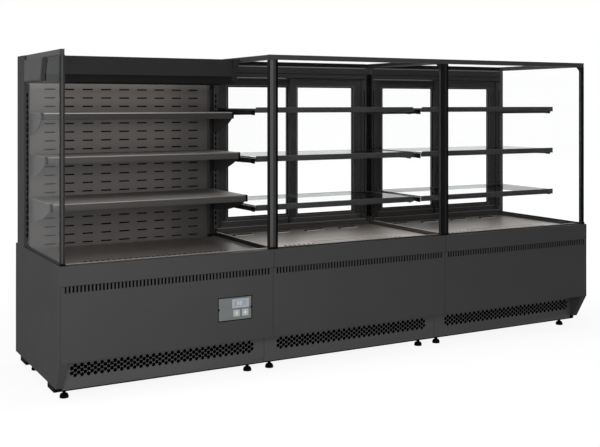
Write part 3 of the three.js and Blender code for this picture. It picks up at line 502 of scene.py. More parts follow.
# Black of seals and gaskets, and painted shade in the strip behind the middle post.
SEAL_AND_SHADE = powder_coat("controller_seal", (0.002, 0.002, 0.002), 0.7, specular=0.02)
RUBBER = rubber("black_rubber", (0.012, 0.012, 0.013))
PLATE = moulded_plastic("controller_grey", (0.104, 0.110, 0.112), 0.45)
KEY = moulded_plastic("key_grey", (0.27, 0.29, 0.29), 0.4)
SYMBOL = moulded_plastic("key_symbol", (0.55, 0.56, 0.55), 0.4)
DISPLAY = moulded_plastic("display_blue_grey", (0.22, 0.26, 0.31), 0.25)
DIGIT = moulded_plastic("display_digit", (0.52, 0.6, 0.68), 0.3)
BLACK_PLASTIC = moulded_plastic("black_plastic", (0.014, 0.014, 0.015), 0.45)
STEEL = brushed_metal("zinc_steel", (0.48, 0.49, 0.5), 0.36)
COIL = finned_coil("finned_coil", (0.12, 0.125, 0.13), (0.62, 0.64, 0.66))
LAMP = opal("opal_lamp", (0.9, 0.9, 0.86))
FRONT_GLASS = clear_glass("front_glass", 1.08, (0.997, 0.998, 0.998))
SIDE_GLASS = clear_glass("side_glass", 1.069, (0.995, 0.996, 0.996))
DOOR_GLASS = clear_glass("door_glass", 1.08, (0.997, 0.998, 0.998))
SHELF_GLASS = clear_glass("shelf_glass", 1.12, (0.978, 0.982, 0.981))
UPSTAND_GLASS = clear_glass("upstand", 1.5, (0.42, 0.43, 0.43))
TOP_GLASS = clear_glass("top_glass", 1.0005, (0.998, 0.999, 0.999))
GLASS_EDGE = glass_edge("glass_edge", (0.016, 0.019, 0.019))


# ---- Camera, light and floor ----


def add_camera():
    camera = new_piece("camera", bpy.data.cameras.new("camera"))
    camera.location = CAMERA_PLACE
    camera.rotation_euler = (math.radians(CAMERA_PITCH), 0, math.radians(CAMERA_YAW))
    camera.data.sensor_width = CAMERA_SENSOR
    camera.data.lens = CAMERA_LENS
    camera.data.shift_y = CAMERA_SHIFT
    camera.data.clip_end = CAMERA_SIGHT
    bpy.context.scene.camera = camera


def seen_ray(tree):
    """1 for the rays that show the backdrop: the camera's own, and those from metal and through glass."""
    path = add_node(tree, "LightPath").outputs
    share = path["Is Camera Ray"]
    for kind in ("Is Glossy Ray", "Is Transmission Ray"):
        share = add_node(tree, "Math", {0: share, 1: path[kind]}, "MAXIMUM").outputs["Value"]
    return share


def add_world(ambient):
    world = bpy.data.worlds.new("studio")
    bpy.context.scene.world = world
    tree = blank_tree(world)
    light = add_node(tree, "Background", {"Color": (1, 1, 1, 1), "Strength": ambient})
    backdrop = add_node(tree, "Background", {"Color": (1, 1, 1, 1), "Strength": 1})
    show_mix(tree, seen_ray(tree), light, backdrop, "OutputWorld")


def add_lamp(name, size, power, place_at, aim):
    lamp = new_piece(name, bpy.data.lights.new(name, "AREA"))
    lamp.data.shape = "RECTANGLE"
    lamp.data.size, lamp.data.size_y = size
    lamp.data.energy = power
    lamp.location = place_at
    lamp.rotation_euler = (Vector(aim) - Vector(place_at)).to_track_quat("-Z", "Y").to_euler()


FLOOR_HALF = 12  # metres
FLOOR_NEAR = 1.6  # metres from the middle of the part
FLOOR_FAR = 3.2
FLOOR_SHARE = 0.86  # of plain white in the floor beside the part
FLOOR_WHITE = 1.06


def add_floor():
    """A white floor that keeps the shadow under the part and turns into plain backdrop white further off."""
    mesh = bpy.data.meshes.new("floor")
    corners = [(u, v, 0) for u, v in rectangle(-FLOOR_HALF, FLOOR_HALF, -FLOOR_HALF, FLOOR_HALF)]
    mesh.from_pydata(corners, [], [(0, 1, 2, 3)])
    floor = new_piece("floor", mesh)
    material = bpy.data.materials.new("floor_white")
    tree = blank_tree(material)
    matt = add_node(tree, "BsdfDiffuse", {"Color": (0.82, 0.82, 0.82, 1)})
    white = add_node(tree, "Emission", {"Color": (1, 1, 1, 1), "Strength": FLOOR_WHITE})
    where = add_node(tree, "TexCoord").outputs["Object"]
    sockets = {
        "Value": add_node(tree, "VectorMath", {0: where}, "LENGTH").outputs["Value"],
        "From Min": FLOOR_NEAR, "From Max": FLOOR_FAR, "To Min": FLOOR_SHARE, "To Max": 1,
    }
    fade = add_node(tree, "MapRange", sockets).outputs["Result"]
    share = add_node(tree, "Math", {0: seen_ray(tree), 1: fade}, "MULTIPLY").outputs["Value"]
    show_mix(tree, share, matt, white, "OutputMaterial")
    mesh.materials.append(material)


# ---- Finishes of the CAD nodes ----

BAND_HEIGHT = 34  # of the dark band along the canopy's foot
PANEL_END = 4  # depth of a side panel's dark front edge
TANK_REAR = (600, 500)  # behind and above these the tank has the doors' warm coat
WALL_FRONT = 641  # the insulated wall is dark in front of this
RAIL_FOOT = 1333.9  # from here up a side frame is the end of the rail
WARM_LEDGE = (45, 545)  # behind and below these the middle frame of the glazed bays is warm
HOLE_EDGE_AREA = 250 * MM * MM


def depth_at(y):
    return place(0, y, 0).y


def height_at(z):
    return place(0, 0, z).z


def dress(node, material, bevel=0.0):
    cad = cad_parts[node]
    cad.data.materials.clear()
    cad.data.materials.append(material)
    for face in cad.data.polygons:
        face.material_index = 0
    if bevel:
        soften(cad, bevel)


def dress_pane(node, glass, thin_axis):
    """Clear faces, with dark ground edges on the narrow sides."""
    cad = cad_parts[node]
    cad.data.materials.clear()
    cad.data.materials.append(glass)
    cad.data.materials.append(GLASS_EDGE)
    for face in cad.data.polygons:
        face.material_index = 0 if looks_along(face, thin_axis) else 1


def second_coat(node, material, chosen):
    """Gives the faces whose centre passes chosen() a second material."""
    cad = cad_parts[node]
    cad.data.materials.append(material)
    last = len(cad.data.materials) - 1
    for face in cad.data.polygons:
        if chosen(cad.matrix_world @ face.center):
            face.material_index = last


def hole_edges(node):
    """Painted shade: the cut edges of a tray's air holes are dark."""
    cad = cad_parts[node]
    cad.data.materials.append(TANK_AND_SHADE)
    for face in cad.data.polygons:
        if not looks_along(face, "z") and face.area < HOLE_EDGE_AREA:
            face.material_index = 1


def dress_base():
    for node in ("front_chassis_rail", "rear_chassis_rail"):
        dress(node, CHASSIS, 1.0)
    for node in ("side_panel_left", "side_panel_right"):
        dress(node, SIDE_COAT, 1.0)
        second_coat(node, TANK_AND_SHADE, lambda p: p.y < depth_at(PANEL_END))
    dress("base_shell", CASING)
    dress("upper_fascia", CASING, 1.0)
    for bay in (1, 2, 3):
        dress(f"front_panel_{bay}", CASING, 0.5)
        # Painted light: the glazed bays' decks take the lit, graded copy of the liner.
        dress(f"deck_tray_{bay}", DECK if bay == 1 else DECK_PAINTED_LIGHT, 0.5)
        hole_edges(f"deck_tray_{bay}")
    rear, height = TANK_REAR
    dress("insulated_tank", TANK_AND_SHADE)
    second_coat("insulated_tank", DOOR_WARM, lambda p: p.y > depth_at(rear) and p.z > height_at(height))
    dress("controller_plate", PLATE, 0.5)
    dress("compressor", CHASSIS, 1.5)
    for node in ("condenser", "evaporator"):
        dress(node, COIL)
    for node in ("condenser_fan", "evaporator_fan"):
        dress(node, BLACK_PLASTIC)


def dress_upper_part():
    dress("insulated_rear_wall", SIDE_COAT, 1.0)
    second_coat("insulated_rear_wall", TANK_AND_SHADE, lambda p: p.y < depth_at(WALL_FRONT))
    canopy_foot = span("canopy")[4]
    dress("canopy", CANOPY, 0.6)
    # Painted shade: the band along the canopy's foot is darker.
    second_coat("canopy", CANOPY_BLACK_AND_SHADE, lambda p: p.z < height_at(canopy_foot + BAND_HEIGHT))
    dress("top_front_rail", FRAME_PALE, 1.2)
    for index in range(4):
        dress(f"side_frame_{index}", SIDE_COAT if index == 0 else FRAME, 0.8)
        if index != 2:
            second_coat(f"side_frame_{index}", FRAME_PALE, lambda p: p.z > height_at(RAIL_FOOT))
        dress_pane(f"side_glass_{index}", SIDE_GLASS, "x")
    rear, height = WARM_LEDGE
    second_coat("side_frame_2", DOOR_WARM, lambda p: p.z < height_at(height) and p.y > depth_at(rear))
    notch = height_at(canopy_foot - 1)
    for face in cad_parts["side_glass_0"].data.polygons:
        if face.center.z > notch and looks_along(face, "y"):
            face.material_index = 0
    for bay in (2, 3):
        dress_pane(f"front_glass_{bay}", FRONT_GLASS, "y")
        dress_pane(f"top_glass_{bay}", TOP_GLASS, "z")
        dress(f"door_frame_{bay}", DOOR, 1.0)
        for side in ("left", "right"):
            dress(f"door_leaf_{bay}_{side}", DOOR, 1.0)
            dress_pane(f"door_glass_{bay}_{side}", DOOR_GLASS, "y")


# ---- Plinth ----

HEX_COLUMNS = 59
HEX_PITCH = 13.35
HEX_RISE = 18.9
HEX_ROWS = ((-0.5, 0.5), (-1, 0, 1))  # the holes of columns in turn, in rises from the middle
HEX_SHIFT = 5
HEX_RADIUS = 8.5
HEX_MIDDLE = 53  # above the plate's bend
KICK_LIP = 20  # height and lean of the lip below the bend
KICK_LEAN = 6
SHEET = 2
MAT_MARGIN = 20  # beyond the holes
MAT_DEPTHS = (18, 24)  # behind the plate
MAT_HEIGHTS = (62, 176)


def hex_grille(bay):
    """The kick plate with its close honeycomb: columns of two and three holes in turn."""
    x0, x1, y0, y1, z0, z1 = span(f"kick_grille_{bay}")
    bend = z0 + KICK_LIP
    first = (bay - 1) * BAY + (BAY - (HEX_COLUMNS - 1) * HEX_PITCH) / 2 + HEX_SHIFT
    middle = bend + HEX_MIDDLE
    holes = [
        polygon(first + column * HEX_PITCH, middle + rise * HEX_RISE, HEX_RADIUS, 6, math.pi / 6)
        for column in range(HEX_COLUMNS) for rise in HEX_ROWS[column % 2]
    ]
    made = {"replaces": [f"kick_grille_{bay}"], "slot": "casing"}
    slab(f"hex_grille_{bay}", "y", y0, y0 + SHEET, [rectangle(x0, x1, bend, z1), *holes], KICK, **made)
    lean = y0 + KICK_LEAN
    lip_line = [(y0, bend), (lean, z0), (lean + SHEET, z0), (y0 + SHEET, bend)]
    slab(f"kick_lip_{bay}", "x", x0, x1, [lip_line], KICK, bevel=0.4, **made)
    # Painted shade: a black sheet behind the grille's holes.
    reach = HEX_COLUMNS * HEX_PITCH / 2 + MAT_MARGIN
    centre = (bay - 0.5) * BAY
    front, rear = (y1 + depth for depth in MAT_DEPTHS)
    mat = (centre - reach, centre + reach, front, rear, *MAT_HEIGHTS)
    boxes(f"shade_sheet_{bay}", [mat], SHADE_BLACK, slot="fan", bevel=1.5)


# ---- Controller ----

PLATE_RIM = 6
PLATE_SEAL = (3.4, 0.95)  # width, and how far it stands proud
BEZEL = (64, 141, 51, 88)  # left, right, foot and top, from the corner inside the plate's rim
BEZEL_WIDTHS = (9, 12, 8, 7)  # round the window, in the same order
BEZEL_PROUD = 0.9
WINDOW_PROUD = 0.4
DIGIT_PLACE = (22, 11.5)  # from the bezel's lower left corner
DIGIT_SIZE = (9, 15)
DIGIT_VALUES = (3, 0)
SCREW_INSET = 5
SCREW_PROFILE = [(4.4, 0), (4.4, 0.6), (3.2, 0.9)]


def controller():
    x0, x1, y0, _, z0, z1 = span("controller_plate")
    x0, x1, z0, z1 = x0 + PLATE_RIM, x1 - PLATE_RIM, z0 + PLATE_RIM, z1 - PLATE_RIM
    seal_width, seal_proud = PLATE_SEAL
    ring("controller_seal", "y", y0 - seal_proud, y0, (x0, x1, z0, z1), seal_width, SEAL_AND_SHADE, slot="controller")
    left, right, low, high = x0 + BEZEL[0], x0 + BEZEL[1], z0 + BEZEL[2], z0 + BEZEL[3]
    opening = (left + BEZEL_WIDTHS[0], right - BEZEL_WIDTHS[1], low + BEZEL_WIDTHS[2], high - BEZEL_WIDTHS[3])
    bezel_lines = [rounded(left, right, low, high, 3), rounded(*opening, 1.5)]
    slab("display_bezel", "y", y0 - BEZEL_PROUD, y0, bezel_lines, KEY, slot="controller", bevel=0.3)
    window_face = y0 - WINDOW_PROUD
    slab("display_window", "y", window_face, y0, [rectangle(*opening)], DISPLAY, slot="controller")
    digits("display_digits", left + DIGIT_PLACE[0], low + DIGIT_PLACE[1], window_face)
    for side, x in (("left", x0 + SCREW_INSET), ("right", x1 - SCREW_INSET)):
        turned(f"plate_screw_{side}", SCREW_PROFILE, (x, y0, (z0 + z1) / 2), 20, SEAL_AND_SHADE, slot="button", smooth=40)
    key_symbols()


KEY_FLANGE = 2  # width and depth
KEY_CORNER = 3
SYMBOL_RISE = 0.5


def key_cap(node, body, outlines):
    """A rounded key cap on its flange, with a raised symbol."""
    x0, x1, y0, y1, z0, z1 = span(node)
    face = y0 + SYMBOL_RISE
    back = y1 - KEY_FLANGE
    inner = (x0 + KEY_FLANGE, x1 - KEY_FLANGE, z0 + KEY_FLANGE, z1 - KEY_FLANGE)
    made = {"body": body, "replaces": [node], "slot": "button"}
    slab(f"{node}_cap", "y", face, back, [rounded(*inner, KEY_CORNER)], KEY, bevel=0.6, **made)
    boxes(f"{node}_flange", [(x0, x1, back, y1, z0, z1)], KEY, **made)
    x, z = (x0 + x1) / 2, (z0 + z1) / 2
    placed = [[(x + u, z + v) for u, v in outline] for outline in outlines]
    slab(f"{node}_symbol", "y", y0 + 0.05, face, placed, SYMBOL, **made)


DISC_RADIUS = 5.2
RAYS = 8
RAY_REACH = 9
RAY_RADIUS = 1.6
ARROWS = [[(-7, 2), (7, 2), (0, 9)], [(-7, -2), (0, -9), (7, -2)]]


def key_symbols():
    """Plain symbols: a disc with rays on one key, two arrows on the other."""
    turns = [2 * math.pi * i / RAYS for i in range(RAYS)]
    rays = [polygon(RAY_REACH * math.cos(turn), RAY_REACH * math.sin(turn), RAY_RADIUS, 6) for turn in turns]
    key_cap("light_button", "light_key", [polygon(0, 0, DISC_RADIUS, 16), *rays])
    key_cap("set_button", "set_key", ARROWS)


SEGMENTS = {0: "abcdef", 3: "abcdg"}
STROKE = 0.12  # of a digit's height
DIGIT_PITCH = 1.5  # digit widths
DIGIT_PROUD = 0.2


def digits(name, x, z, y):
    """Seven-segment numerals standing a hair off the display window."""
    width, height = DIGIT_SIZE
    thick = height * STROKE
    half = height / 2
    spans = []
    for index, value in enumerate(DIGIT_VALUES):
        left = x + index * width * DIGIT_PITCH
        right = left + width
        places = {
            "a": (left, right, z + height - thick, z + height), "d": (left, right, z, z + thick),
            "g": (left, right, z + half - thick / 2, z + half + thick / 2),
            "b": (right - thick, right, z + half, z + height), "c": (right - thick, right, z, z + half),
            "f": (left, left + thick, z + half, z + height), "e": (left, left + thick, z, z + half),
        }
        for segment in SEGMENTS[value]:
            x0, x1, z0, z1 = places[segment]
            spans.append((x0, x1, y - DIGIT_PROUD, y, z0, z1))
    boxes(name, spans, DIGIT, slot="controller")


# ---- Open bay ----

SLOT_COLUMNS = 9
SLOT_ROWS = 19
SLOT_PITCH = 84
SLOT_RISE = 37.5
SLOT_SIZE = (49, 6)
SLOT_SHIFT = 10.5  # right of the wall's middle
SLOT_TOP = 25  # below the wall's top
WALL_STEP = (30.6, 534.3)  # the wall's lower left corner is cut away up to here
RETURN_FRONT = 579  # front of the fold along the wall's right edge


def slotted_wall():
    """The back wall with round-ended air slots."""
    x0, x1, y0, y1, z0, z1 = span("slotted_back_panel")
    first = (x0 + x1 - (SLOT_COLUMNS - 1) * SLOT_PITCH) / 2 + SLOT_SHIFT
    slots = [
        round_slot(first + column * SLOT_PITCH, z1 - SLOT_TOP - row * SLOT_RISE, *SLOT_SIZE)
        for row in range(SLOT_ROWS) for column in range(SLOT_COLUMNS)
    ]
    step, foot = WALL_STEP
    outline = [(step, z0), (x1, z0), (x1, z1), (x0, z1), (x0, foot), (step, foot)]
    slab("air_wall", "y", y0, y1, [outline, *slots], WALL, replaces=["slotted_back_panel"], slot="liner")
    boxes("wall_return", [(x1 - 1.3, x1 + 0.1, RETURN_FRONT, y0 - 0.1, foot, z1)], WALL, slot="liner")


SHELF_LIP = 29
SHELF_BEAD = 4.5  # height of the pale bead along a shelf's front edge
SHELF_LIFT = {1: 5, 2: 3, 3: 1.5}  # above the solid's top
LIP_SETBACK = 1  # behind the bead
LIP_RETURN = 14  # how far the lip runs under the shelf
CAP_WIDTH = 9
CAP_REACH = 24
CAP_HEAD = 5
CAP_FOOT = 6
BRACKET_THICKNESS = 3
BRACKET_STEPS = 8
BRACKET_START = 10  # behind the shelf's front edge
BRACKET_END = 2  # in front of its rear edge
BRACKET_FOOT = 98  # below the shelf's top


def open_shelf(level):
    """A shelf of the open bay: plate with painted light, a bead painted as a highlight, dark lip, end caps and
    curved brackets.
    """
    node = f"shelf_1_{level}"
    x0, x1, y0, y1, _, top = span(node)
    top += SHELF_LIFT[level]
    liner, dark = ({"replaces": [node], "slot": slot} for slot in ("liner", "frame"))
    plate = (x0 + 3, x1 - 3, y0 + SHEET, y1, top - SHEET, top)
    boxes(f"shelf_plate_{level}", [plate], SHELF_TOP, bevel=0.4, **liner)
    bead_foot = top - SHELF_BEAD
    bead_line = [
        (y0 + SHEET, bead_foot), (y0, bead_foot + 1), (y0, top - 1.5), (y0 + 1.5, top), (y0 + SHEET + 1, top),
    ]
    slab(f"shelf_bead_{level}", "x", x0 + CAP_WIDTH, x1 - CAP_WIDTH, [bead_line], BEAD_HIGHLIGHTS[level - 1], **liner)
    foot = top - SHELF_LIP
    face = y0 + LIP_SETBACK
    lip_line = [
        (face, bead_foot), (face, foot), (y0 + LIP_RETURN, foot), (y0 + LIP_RETURN, foot + SHEET),
        (face + SHEET, foot + SHEET), (face + SHEET, bead_foot),
    ]
    # Painted light: the two lower lips take the lighter copy of the top lip's charcoal.
    lip_coat = SHELF_DARK if level == 3 else LIP_LIT
    slab(f"shelf_lip_{level}", "x", x0 + 2, x1 - 2, [lip_line], lip_coat, bevel=0.5, **dark)
    head, rear, web = top + 0.3, y0 + CAP_REACH, y0 + CAP_WIDTH
    cap_line = [
        (rear, head), (y0, head), (y0, foot), (rear, foot), (rear, foot + CAP_FOOT), (web, foot + CAP_FOOT),
        (web, top - CAP_HEAD), (rear, top - CAP_HEAD),
    ]
    for side, low in (("left", x0), ("right", x1 - CAP_WIDTH)):
        slab(f"shelf_cap_{level}_{side}", "x", low, low + CAP_WIDTH, [cap_line], CAP_AND_SHADE, bevel=0.6, **dark)
    start = y0 + BRACKET_START
    reach = y1 - BRACKET_END - start
    curve = []
    for i in range(BRACKET_STEPS + 1):
        t = i / BRACKET_STEPS
        curve.append((start + reach * t, foot + 2 - (BRACKET_FOOT - SHELF_LIP) * (1 - (1 - t) ** 2)))
    outline = [(y1 - 1, top - SHEET), (start, top - SHEET), *curve, (y1 - 1, top - BRACKET_FOOT)]
    for side, low in (("left", x0 + 2), ("right", x1 - 2 - BRACKET_THICKNESS)):
        high = low + BRACKET_THICKNESS
        slab(f"shelf_bracket_{level}_{side}", "x", low, high, [outline], BRACKET, bevel=0.3, **dark)


CHANNEL_HEIGHT = 4.5
CHANNEL_FLANGE = 6
CHANNEL_WEB = 1.5


def canopy_light():
    """A slim dark channel under the canopy, with an opal strip let into its foot."""
    x0, x1, y0, y1, _, z1 = span("canopy_lamp")
    foot = z1 - CHANNEL_HEIGHT
    web = z1 - CHANNEL_WEB
    front, rear = y0 - CHANNEL_FLANGE, y1 + CHANNEL_FLANGE
    channel_line = [
        (front, z1), (front, foot), (y0, foot), (y0, web), (y1, web), (y1, foot), (rear, foot), (rear, z1),
    ]
    made = {"replaces": ["canopy_lamp"]}
    slab("lamp_channel", "x", x0, x1, [channel_line], CANOPY_BLACK_AND_SHADE, slot="frame", bevel=0.4, **made)
    strip = (x0 + 4, x1 - 4, y0 + 1, y1 - 1, foot + 0.6, z1 - 2)
    boxes("lamp_strip", [strip], LAMP, slot="lamp", bevel=0.6, **made)


END_FACE = 0.3  # outer face of the cover, from the part's left side
END_THICKNESS = 1.5
END_MARGINS = (9, 10.4)  # above the canopy's foot and below its top
END_FRONT = (38, 8)  # of the cover, at its foot and at its top, behind the canopy's front
END_RIM = 18  # width of the seal in front of the cover, and its depth below
END_SEAL = 5


def canopy_end():
    """The cover plate over the canopy's left end, outside the pane's notch."""
    _, _, y0, _, foot, top = span("canopy")
    rear = span("shelf_1_1")[3]
    low, high = foot + END_MARGINS[0], top - END_MARGINS[1]
    front_low, front_high = y0 + END_FRONT[0], y0 + END_FRONT[1]
    plate_line = [(front_low, low), (rear, low), (rear, high), (front_high, high)]
    inner = END_FACE + END_THICKNESS
    slab("canopy_end_cover", "x", END_FACE, inner, [plate_line], END_COVER, slot="casing", bevel=0.3)
    seal_line = [
        (front_low, low), (rear, low), (rear, low - END_SEAL), (front_low - END_RIM, low - END_SEAL),
        (front_high - END_RIM, high), (front_high, high),
    ]
    slab("canopy_end_seal", "x", END_FACE + 0.4, inner, [seal_line], CANOPY, slot="frame")


STRIPS = [  # place, middle, face, foot and top of each slotted strip
    ("1_left", 14, 578, 560, 1230), ("1_right", 893, 578, 560, 1234), ("2_left", 925, 640, 560, 1262),
    ("2_right", 1766, 640, 560, 1262), ("3_left", 1823.6, 640, 560, 1262), ("3_right", 2668, 640, 560, 1262),
]
STRIP_HALF = 11
STRIP_PITCH = 25
STRIP_HOLE = (9, 20)
STRIP_START = 24  # from a strip's foot to the middle of its first hole
STRIP_SPARE = 30  # of a strip's height is left without holes
STRIP_STAND = (2.6, 1, 0.2)  # a strip's front and back and the back of the black sheet of painted shade behind it, before the face
GROOVE = (4, 3, 0.4)  # width of the groove beside a strip, and its front and back before the face


def shelf_strips():
    """Slotted strips that the shelves hook into, with a black sheet behind as painted shade that shows through the
    slots.
    """
    front, back, last = STRIP_STAND
    for side, x, y, z0, z1 in STRIPS:
        count = int((z1 - z0 - STRIP_SPARE) / STRIP_PITCH)
        slots = [round_slot(x, z0 + STRIP_START + i * STRIP_PITCH, *STRIP_HOLE, 3) for i in range(count)]
        left, right = x - STRIP_HALF, x + STRIP_HALF
        outlines = [rectangle(left, right, z0, z1), *slots]
        slab(f"shelf_strip_{side}", "y", y - front, y - back, outlines, FRAME_PALE, slot="frame", bevel=0.2)
        # Painted shade: a black sheet behind the strip that shows through its slots.
        slot_shade = (left + 2, right - 2, y - back, y - last, z0 + 4, z1 - 4)
        boxes(f"shelf_strip_{side}_backing", [slot_shade], SHADE_BLACK, slot="frame")
    # Painted shade: a black strip in the groove beside the strip.
    _, x, y, z0, z1 = STRIPS[1]
    left = x - STRIP_HALF
    width, front, back = GROOVE
    boxes("strip_groove", [(left - width, left, y - front, y - back, z0, z1)], SHADE_BLACK, slot="frame")


# ---- Glazed bays ----

PANE_THICKNESS = 6
PANE_GAP = 0.4
SHELF_BARS = {1: (2.3, 23), 2: (4.5, 20.5), 3: (5.2, 18.5)}  # a bar's reach above and below its pane's top
BAR_WALL = 5
BAR_DEPTH = 14
BAR_LINE = 0.6
ARM_THICKNESS = 3
ARM_FRONT = 27  # an arm's square front end, below the pane's top
ARM_REAR = 33
ARM_SETBACK = 20  # from the bar to the arm's front end
TIP_LENGTH = 30
UPSTAND = 20  # depth of the clear strip under a shelf's rear edge


def glass_shelf(bay, level):
    """A glass shelf: its pane, the bar along its front, two arms with their tips, and a clear strip behind."""
    tag = f"{bay}_{level}"
    node = f"glass_shelf_{tag}"
    x0, x1, y0, y1, _, top = span(node)
    under = top - PANE_THICKNESS
    clear, dark = ({"replaces": [node], "slot": slot} for slot in ("glass", "frame"))
    pane_span = (x0 + 3, x1 - 3, y0 + 6, y1 - 1, under, top)
    pane = boxes(f"shelf_pane_{tag}", [pane_span], [SHELF_GLASS, GLASS_EDGE], **clear)
    for face in pane.data.polygons:
        face.material_index = 0 if looks_along(face, "z") else 1
    rise, drop = SHELF_BARS[level]
    rest = under - PANE_GAP
    head = top + rise
    bar_line = [
        (y0, top - drop), (y0 + BAR_DEPTH, top - drop), (y0 + BAR_DEPTH, rest), (y0 + BAR_WALL, rest),
        (y0 + BAR_WALL, head), (y0, head),
    ]
    slab(f"shelf_bar_{tag}", "x", x0, x1, [bar_line], FRAME_PALE, bevel=0.8, **dark)
    # Painted highlight along the bar's top edge.
    line = (x0 + 2, x1 - 2, y0 - 0.3, y0 + 1.2, head, head + BAR_LINE)
    boxes(f"shelf_bar_line_{tag}", [line], HIGHLIGHT_LINE, **dark)
    start = y0 + ARM_SETBACK
    arm_line = [(start, rest), (start, top - ARM_FRONT), (y1, top - ARM_REAR), (y1, rest)]
    for side, x in (("left", x0), ("right", x1 - ARM_THICKNESS)):
        slab(f"shelf_arm_{tag}_{side}", "x", x, x + ARM_THICKNESS, [arm_line], FRAME, bevel=0.4, **dark)
        tip = (x - 1, x + ARM_THICKNESS + 1, start, start + TIP_LENGTH, top - ARM_FRONT - 2, under - 0.6)
        boxes(f"shelf_arm_tip_{tag}_{side}", [tip], CAP_AND_SHADE, bevel=0.8, **dark)
    strip = (x0 + 6, x1 - 6, y1 - 6, y1 - 3, top - UPSTAND, under - 0.2)
    boxes(f"shelf_upstand_{tag}", [strip], UPSTAND_GLASS, **clear)


DOOR_TRIM = 0.9  # how far the trim of a leaf stands proud
GLINT_TRIM = 0.8
GASKET_WIDTH = 6
GLINT_WIDTH = 1.6
BEAD_WIDTH = 3
FOOT_LINES = (6, 30)  # above a leaf's foot
FOOT_LINE = 2
WARM_FOOT = 4  # below a leaf's pane its coat is warm


def door_details(bay, side):
    """The gasket round a sliding pane and the raised beads of its profiles, with painted highlights: a pale ring
    round the gasket and pale lines along the leaf's foot.
    """
    tag = f"{bay}_{side}"
    made = {"body": f"rear_door_{tag}", "slot": "frame"}
    x0, x1, face, _, z0, z1 = span(f"door_leaf_{tag}")
    gx0, gx1, _, _, gz0, gz1 = span(f"door_glass_{tag}")
    proud = face - DOOR_TRIM
    outer = (gx0 - 3, gx1 + 3, gz0 - 3, gz1 + 3)
    ring(f"door_gasket_{tag}", "y", proud, face, outer, GASKET_WIDTH, SEAL_AND_SHADE, **made)
    # Painted highlight: a pale ring round the gasket.
    outer = (gx0 - 5, gx1 + 5, gz0 - 5, gz1 + 5)
    ring(f"door_glint_{tag}", "y", face - GLINT_TRIM, face, outer, GLINT_WIDTH, HIGHLIGHT_LINE, **made)
    outer = (x0 + 9, x1 - 9, z0 + 12, z1 - 9)
    ring(f"door_bead_{tag}", "y", proud, face, outer, BEAD_WIDTH, FRAME_PALE, bevel=0.3, **made)
    second_coat(f"door_leaf_{tag}", DOOR_WARM, lambda p: p.z < height_at(gz0 - WARM_FOOT))
    # Painted highlights: pale lines along the leaf's foot.
    lines = [(x0 + 4, x1 - 4, proud, face, z0 + rise, z0 + rise + FOOT_LINE) for rise in FOOT_LINES]
    boxes(f"door_foot_line_{tag}", lines, HIGHLIGHT_LINE, **made)


FRAME_INSET = 26  # from the bay's edges to the strips on a door frame
FRAME_STAND = (1.2, 0.2)  # front and back of the strips, in front of the frame
HEAD_FOOT = (1272.6, 1276.4)
HEAD_BREAK = 375  # the line along the head's foot is pale up to here, and dark beyond
FRAME_STRIPS = [  # name, foot, top and coat
    ("head_shade", 1334, 1354.4, DARK_SEAM_AND_SHADE), ("head_line", 1329.4, 1333.6, HIGHLIGHT_LINE),
    ("head_step", 1296, 1299, DARK_SEAM_AND_SHADE), ("head_foot_line", *HEAD_FOOT, HIGHLIGHT_LINE),
    ("sill_cover", 534.6, 547.8, DOOR_WARM), ("sill_line", 548, 551, HIGHLIGHT_LINE),
]


def door_frame_details(bay):
    """Painted highlights along a door frame's head and sill, and painted shade on the head and in the groove
    between head and glass.
    """
    y0 = span(f"door_frame_{bay}")[2]
    front, back = y0 - FRAME_STAND[0], y0 - FRAME_STAND[1]
    left, right = (bay - 1) * BAY + FRAME_INSET, bay * BAY - FRAME_INSET
    middle = left + HEAD_BREAK
    # Painted shade along the head's foot beyond the left leaf; in the strips below, the dark ones are painted
    # shade and the pale lines painted highlights.
    boxes(f"head_foot_shade_{bay}", [(middle + 1, right, front, back, *HEAD_FOOT)], DARK_SEAM_AND_SHADE, slot="frame")
    for name, low, high, material in FRAME_STRIPS:
        end = middle if name == "head_foot_line" else right
        boxes(f"{name}_{bay}", [(left, end, front, back, low, high)], material, slot="frame")


JOINT_SHIFT = 8  # from a bay's edge to the middle of the joint there
POST_HALF = 19
POST_HEIGHTS = (543.5, 1333)
POST_EDGE = 0.3  # the block under the first post starts here
BLOCK_FOOT = 534.4
BLOCK_MARGIN = 2
BLOCK_PROUD = 4
MIDDLE_POST = [  # name, start and end across the post, and how far it stands proud
    ("seal", 0, 2.5, 1.2), ("cover", 2.5, 18, 2.6), ("groove", 18, 20, 0.8), ("side", 20, 30, 1.8),
    ("gasket", 30, 40.5, 1.2),
]
LEFT_POST = [("seal", 0, 6.5, 1.0), ("cover", 6.5, 13.5, 2.2), ("gasket", 13.5, 21, 1.0)]
RIGHT_POST = [("seal", 0, 3.5, 1.0), ("cover", 3.5, 10, 2.2), ("gasket", 10, 14, 1.0)]
# The same strips get darker coats from post to post towards the right: painted shade where less light falls.
POSTS = [  # left edge, width over the block, strips and their coats
    (POST_EDGE, 20, LEFT_POST, (CANOPY, EDGE_COVER, CANOPY)),
    (BAY + JOINT_SHIFT - POST_HALF, 38, MIDDLE_POST, (SEAL_AND_SHADE, POST_COVER_LIT, DARK_SEAM_AND_SHADE, DOOR, SEAL_AND_SHADE)),
    (2 * BAY + JOINT_SHIFT - POST_HALF, 38, MIDDLE_POST, (SEAL_AND_SHADE, DARK_SEAM_AND_SHADE, DARK_SEAM_AND_SHADE, FRAME, SEAL_AND_SHADE)),
    (LENGTH - 20, 14, RIGHT_POST, (SEAL_AND_SHADE, DARK_SEAM_AND_SHADE, SEAL_AND_SHADE)),
]


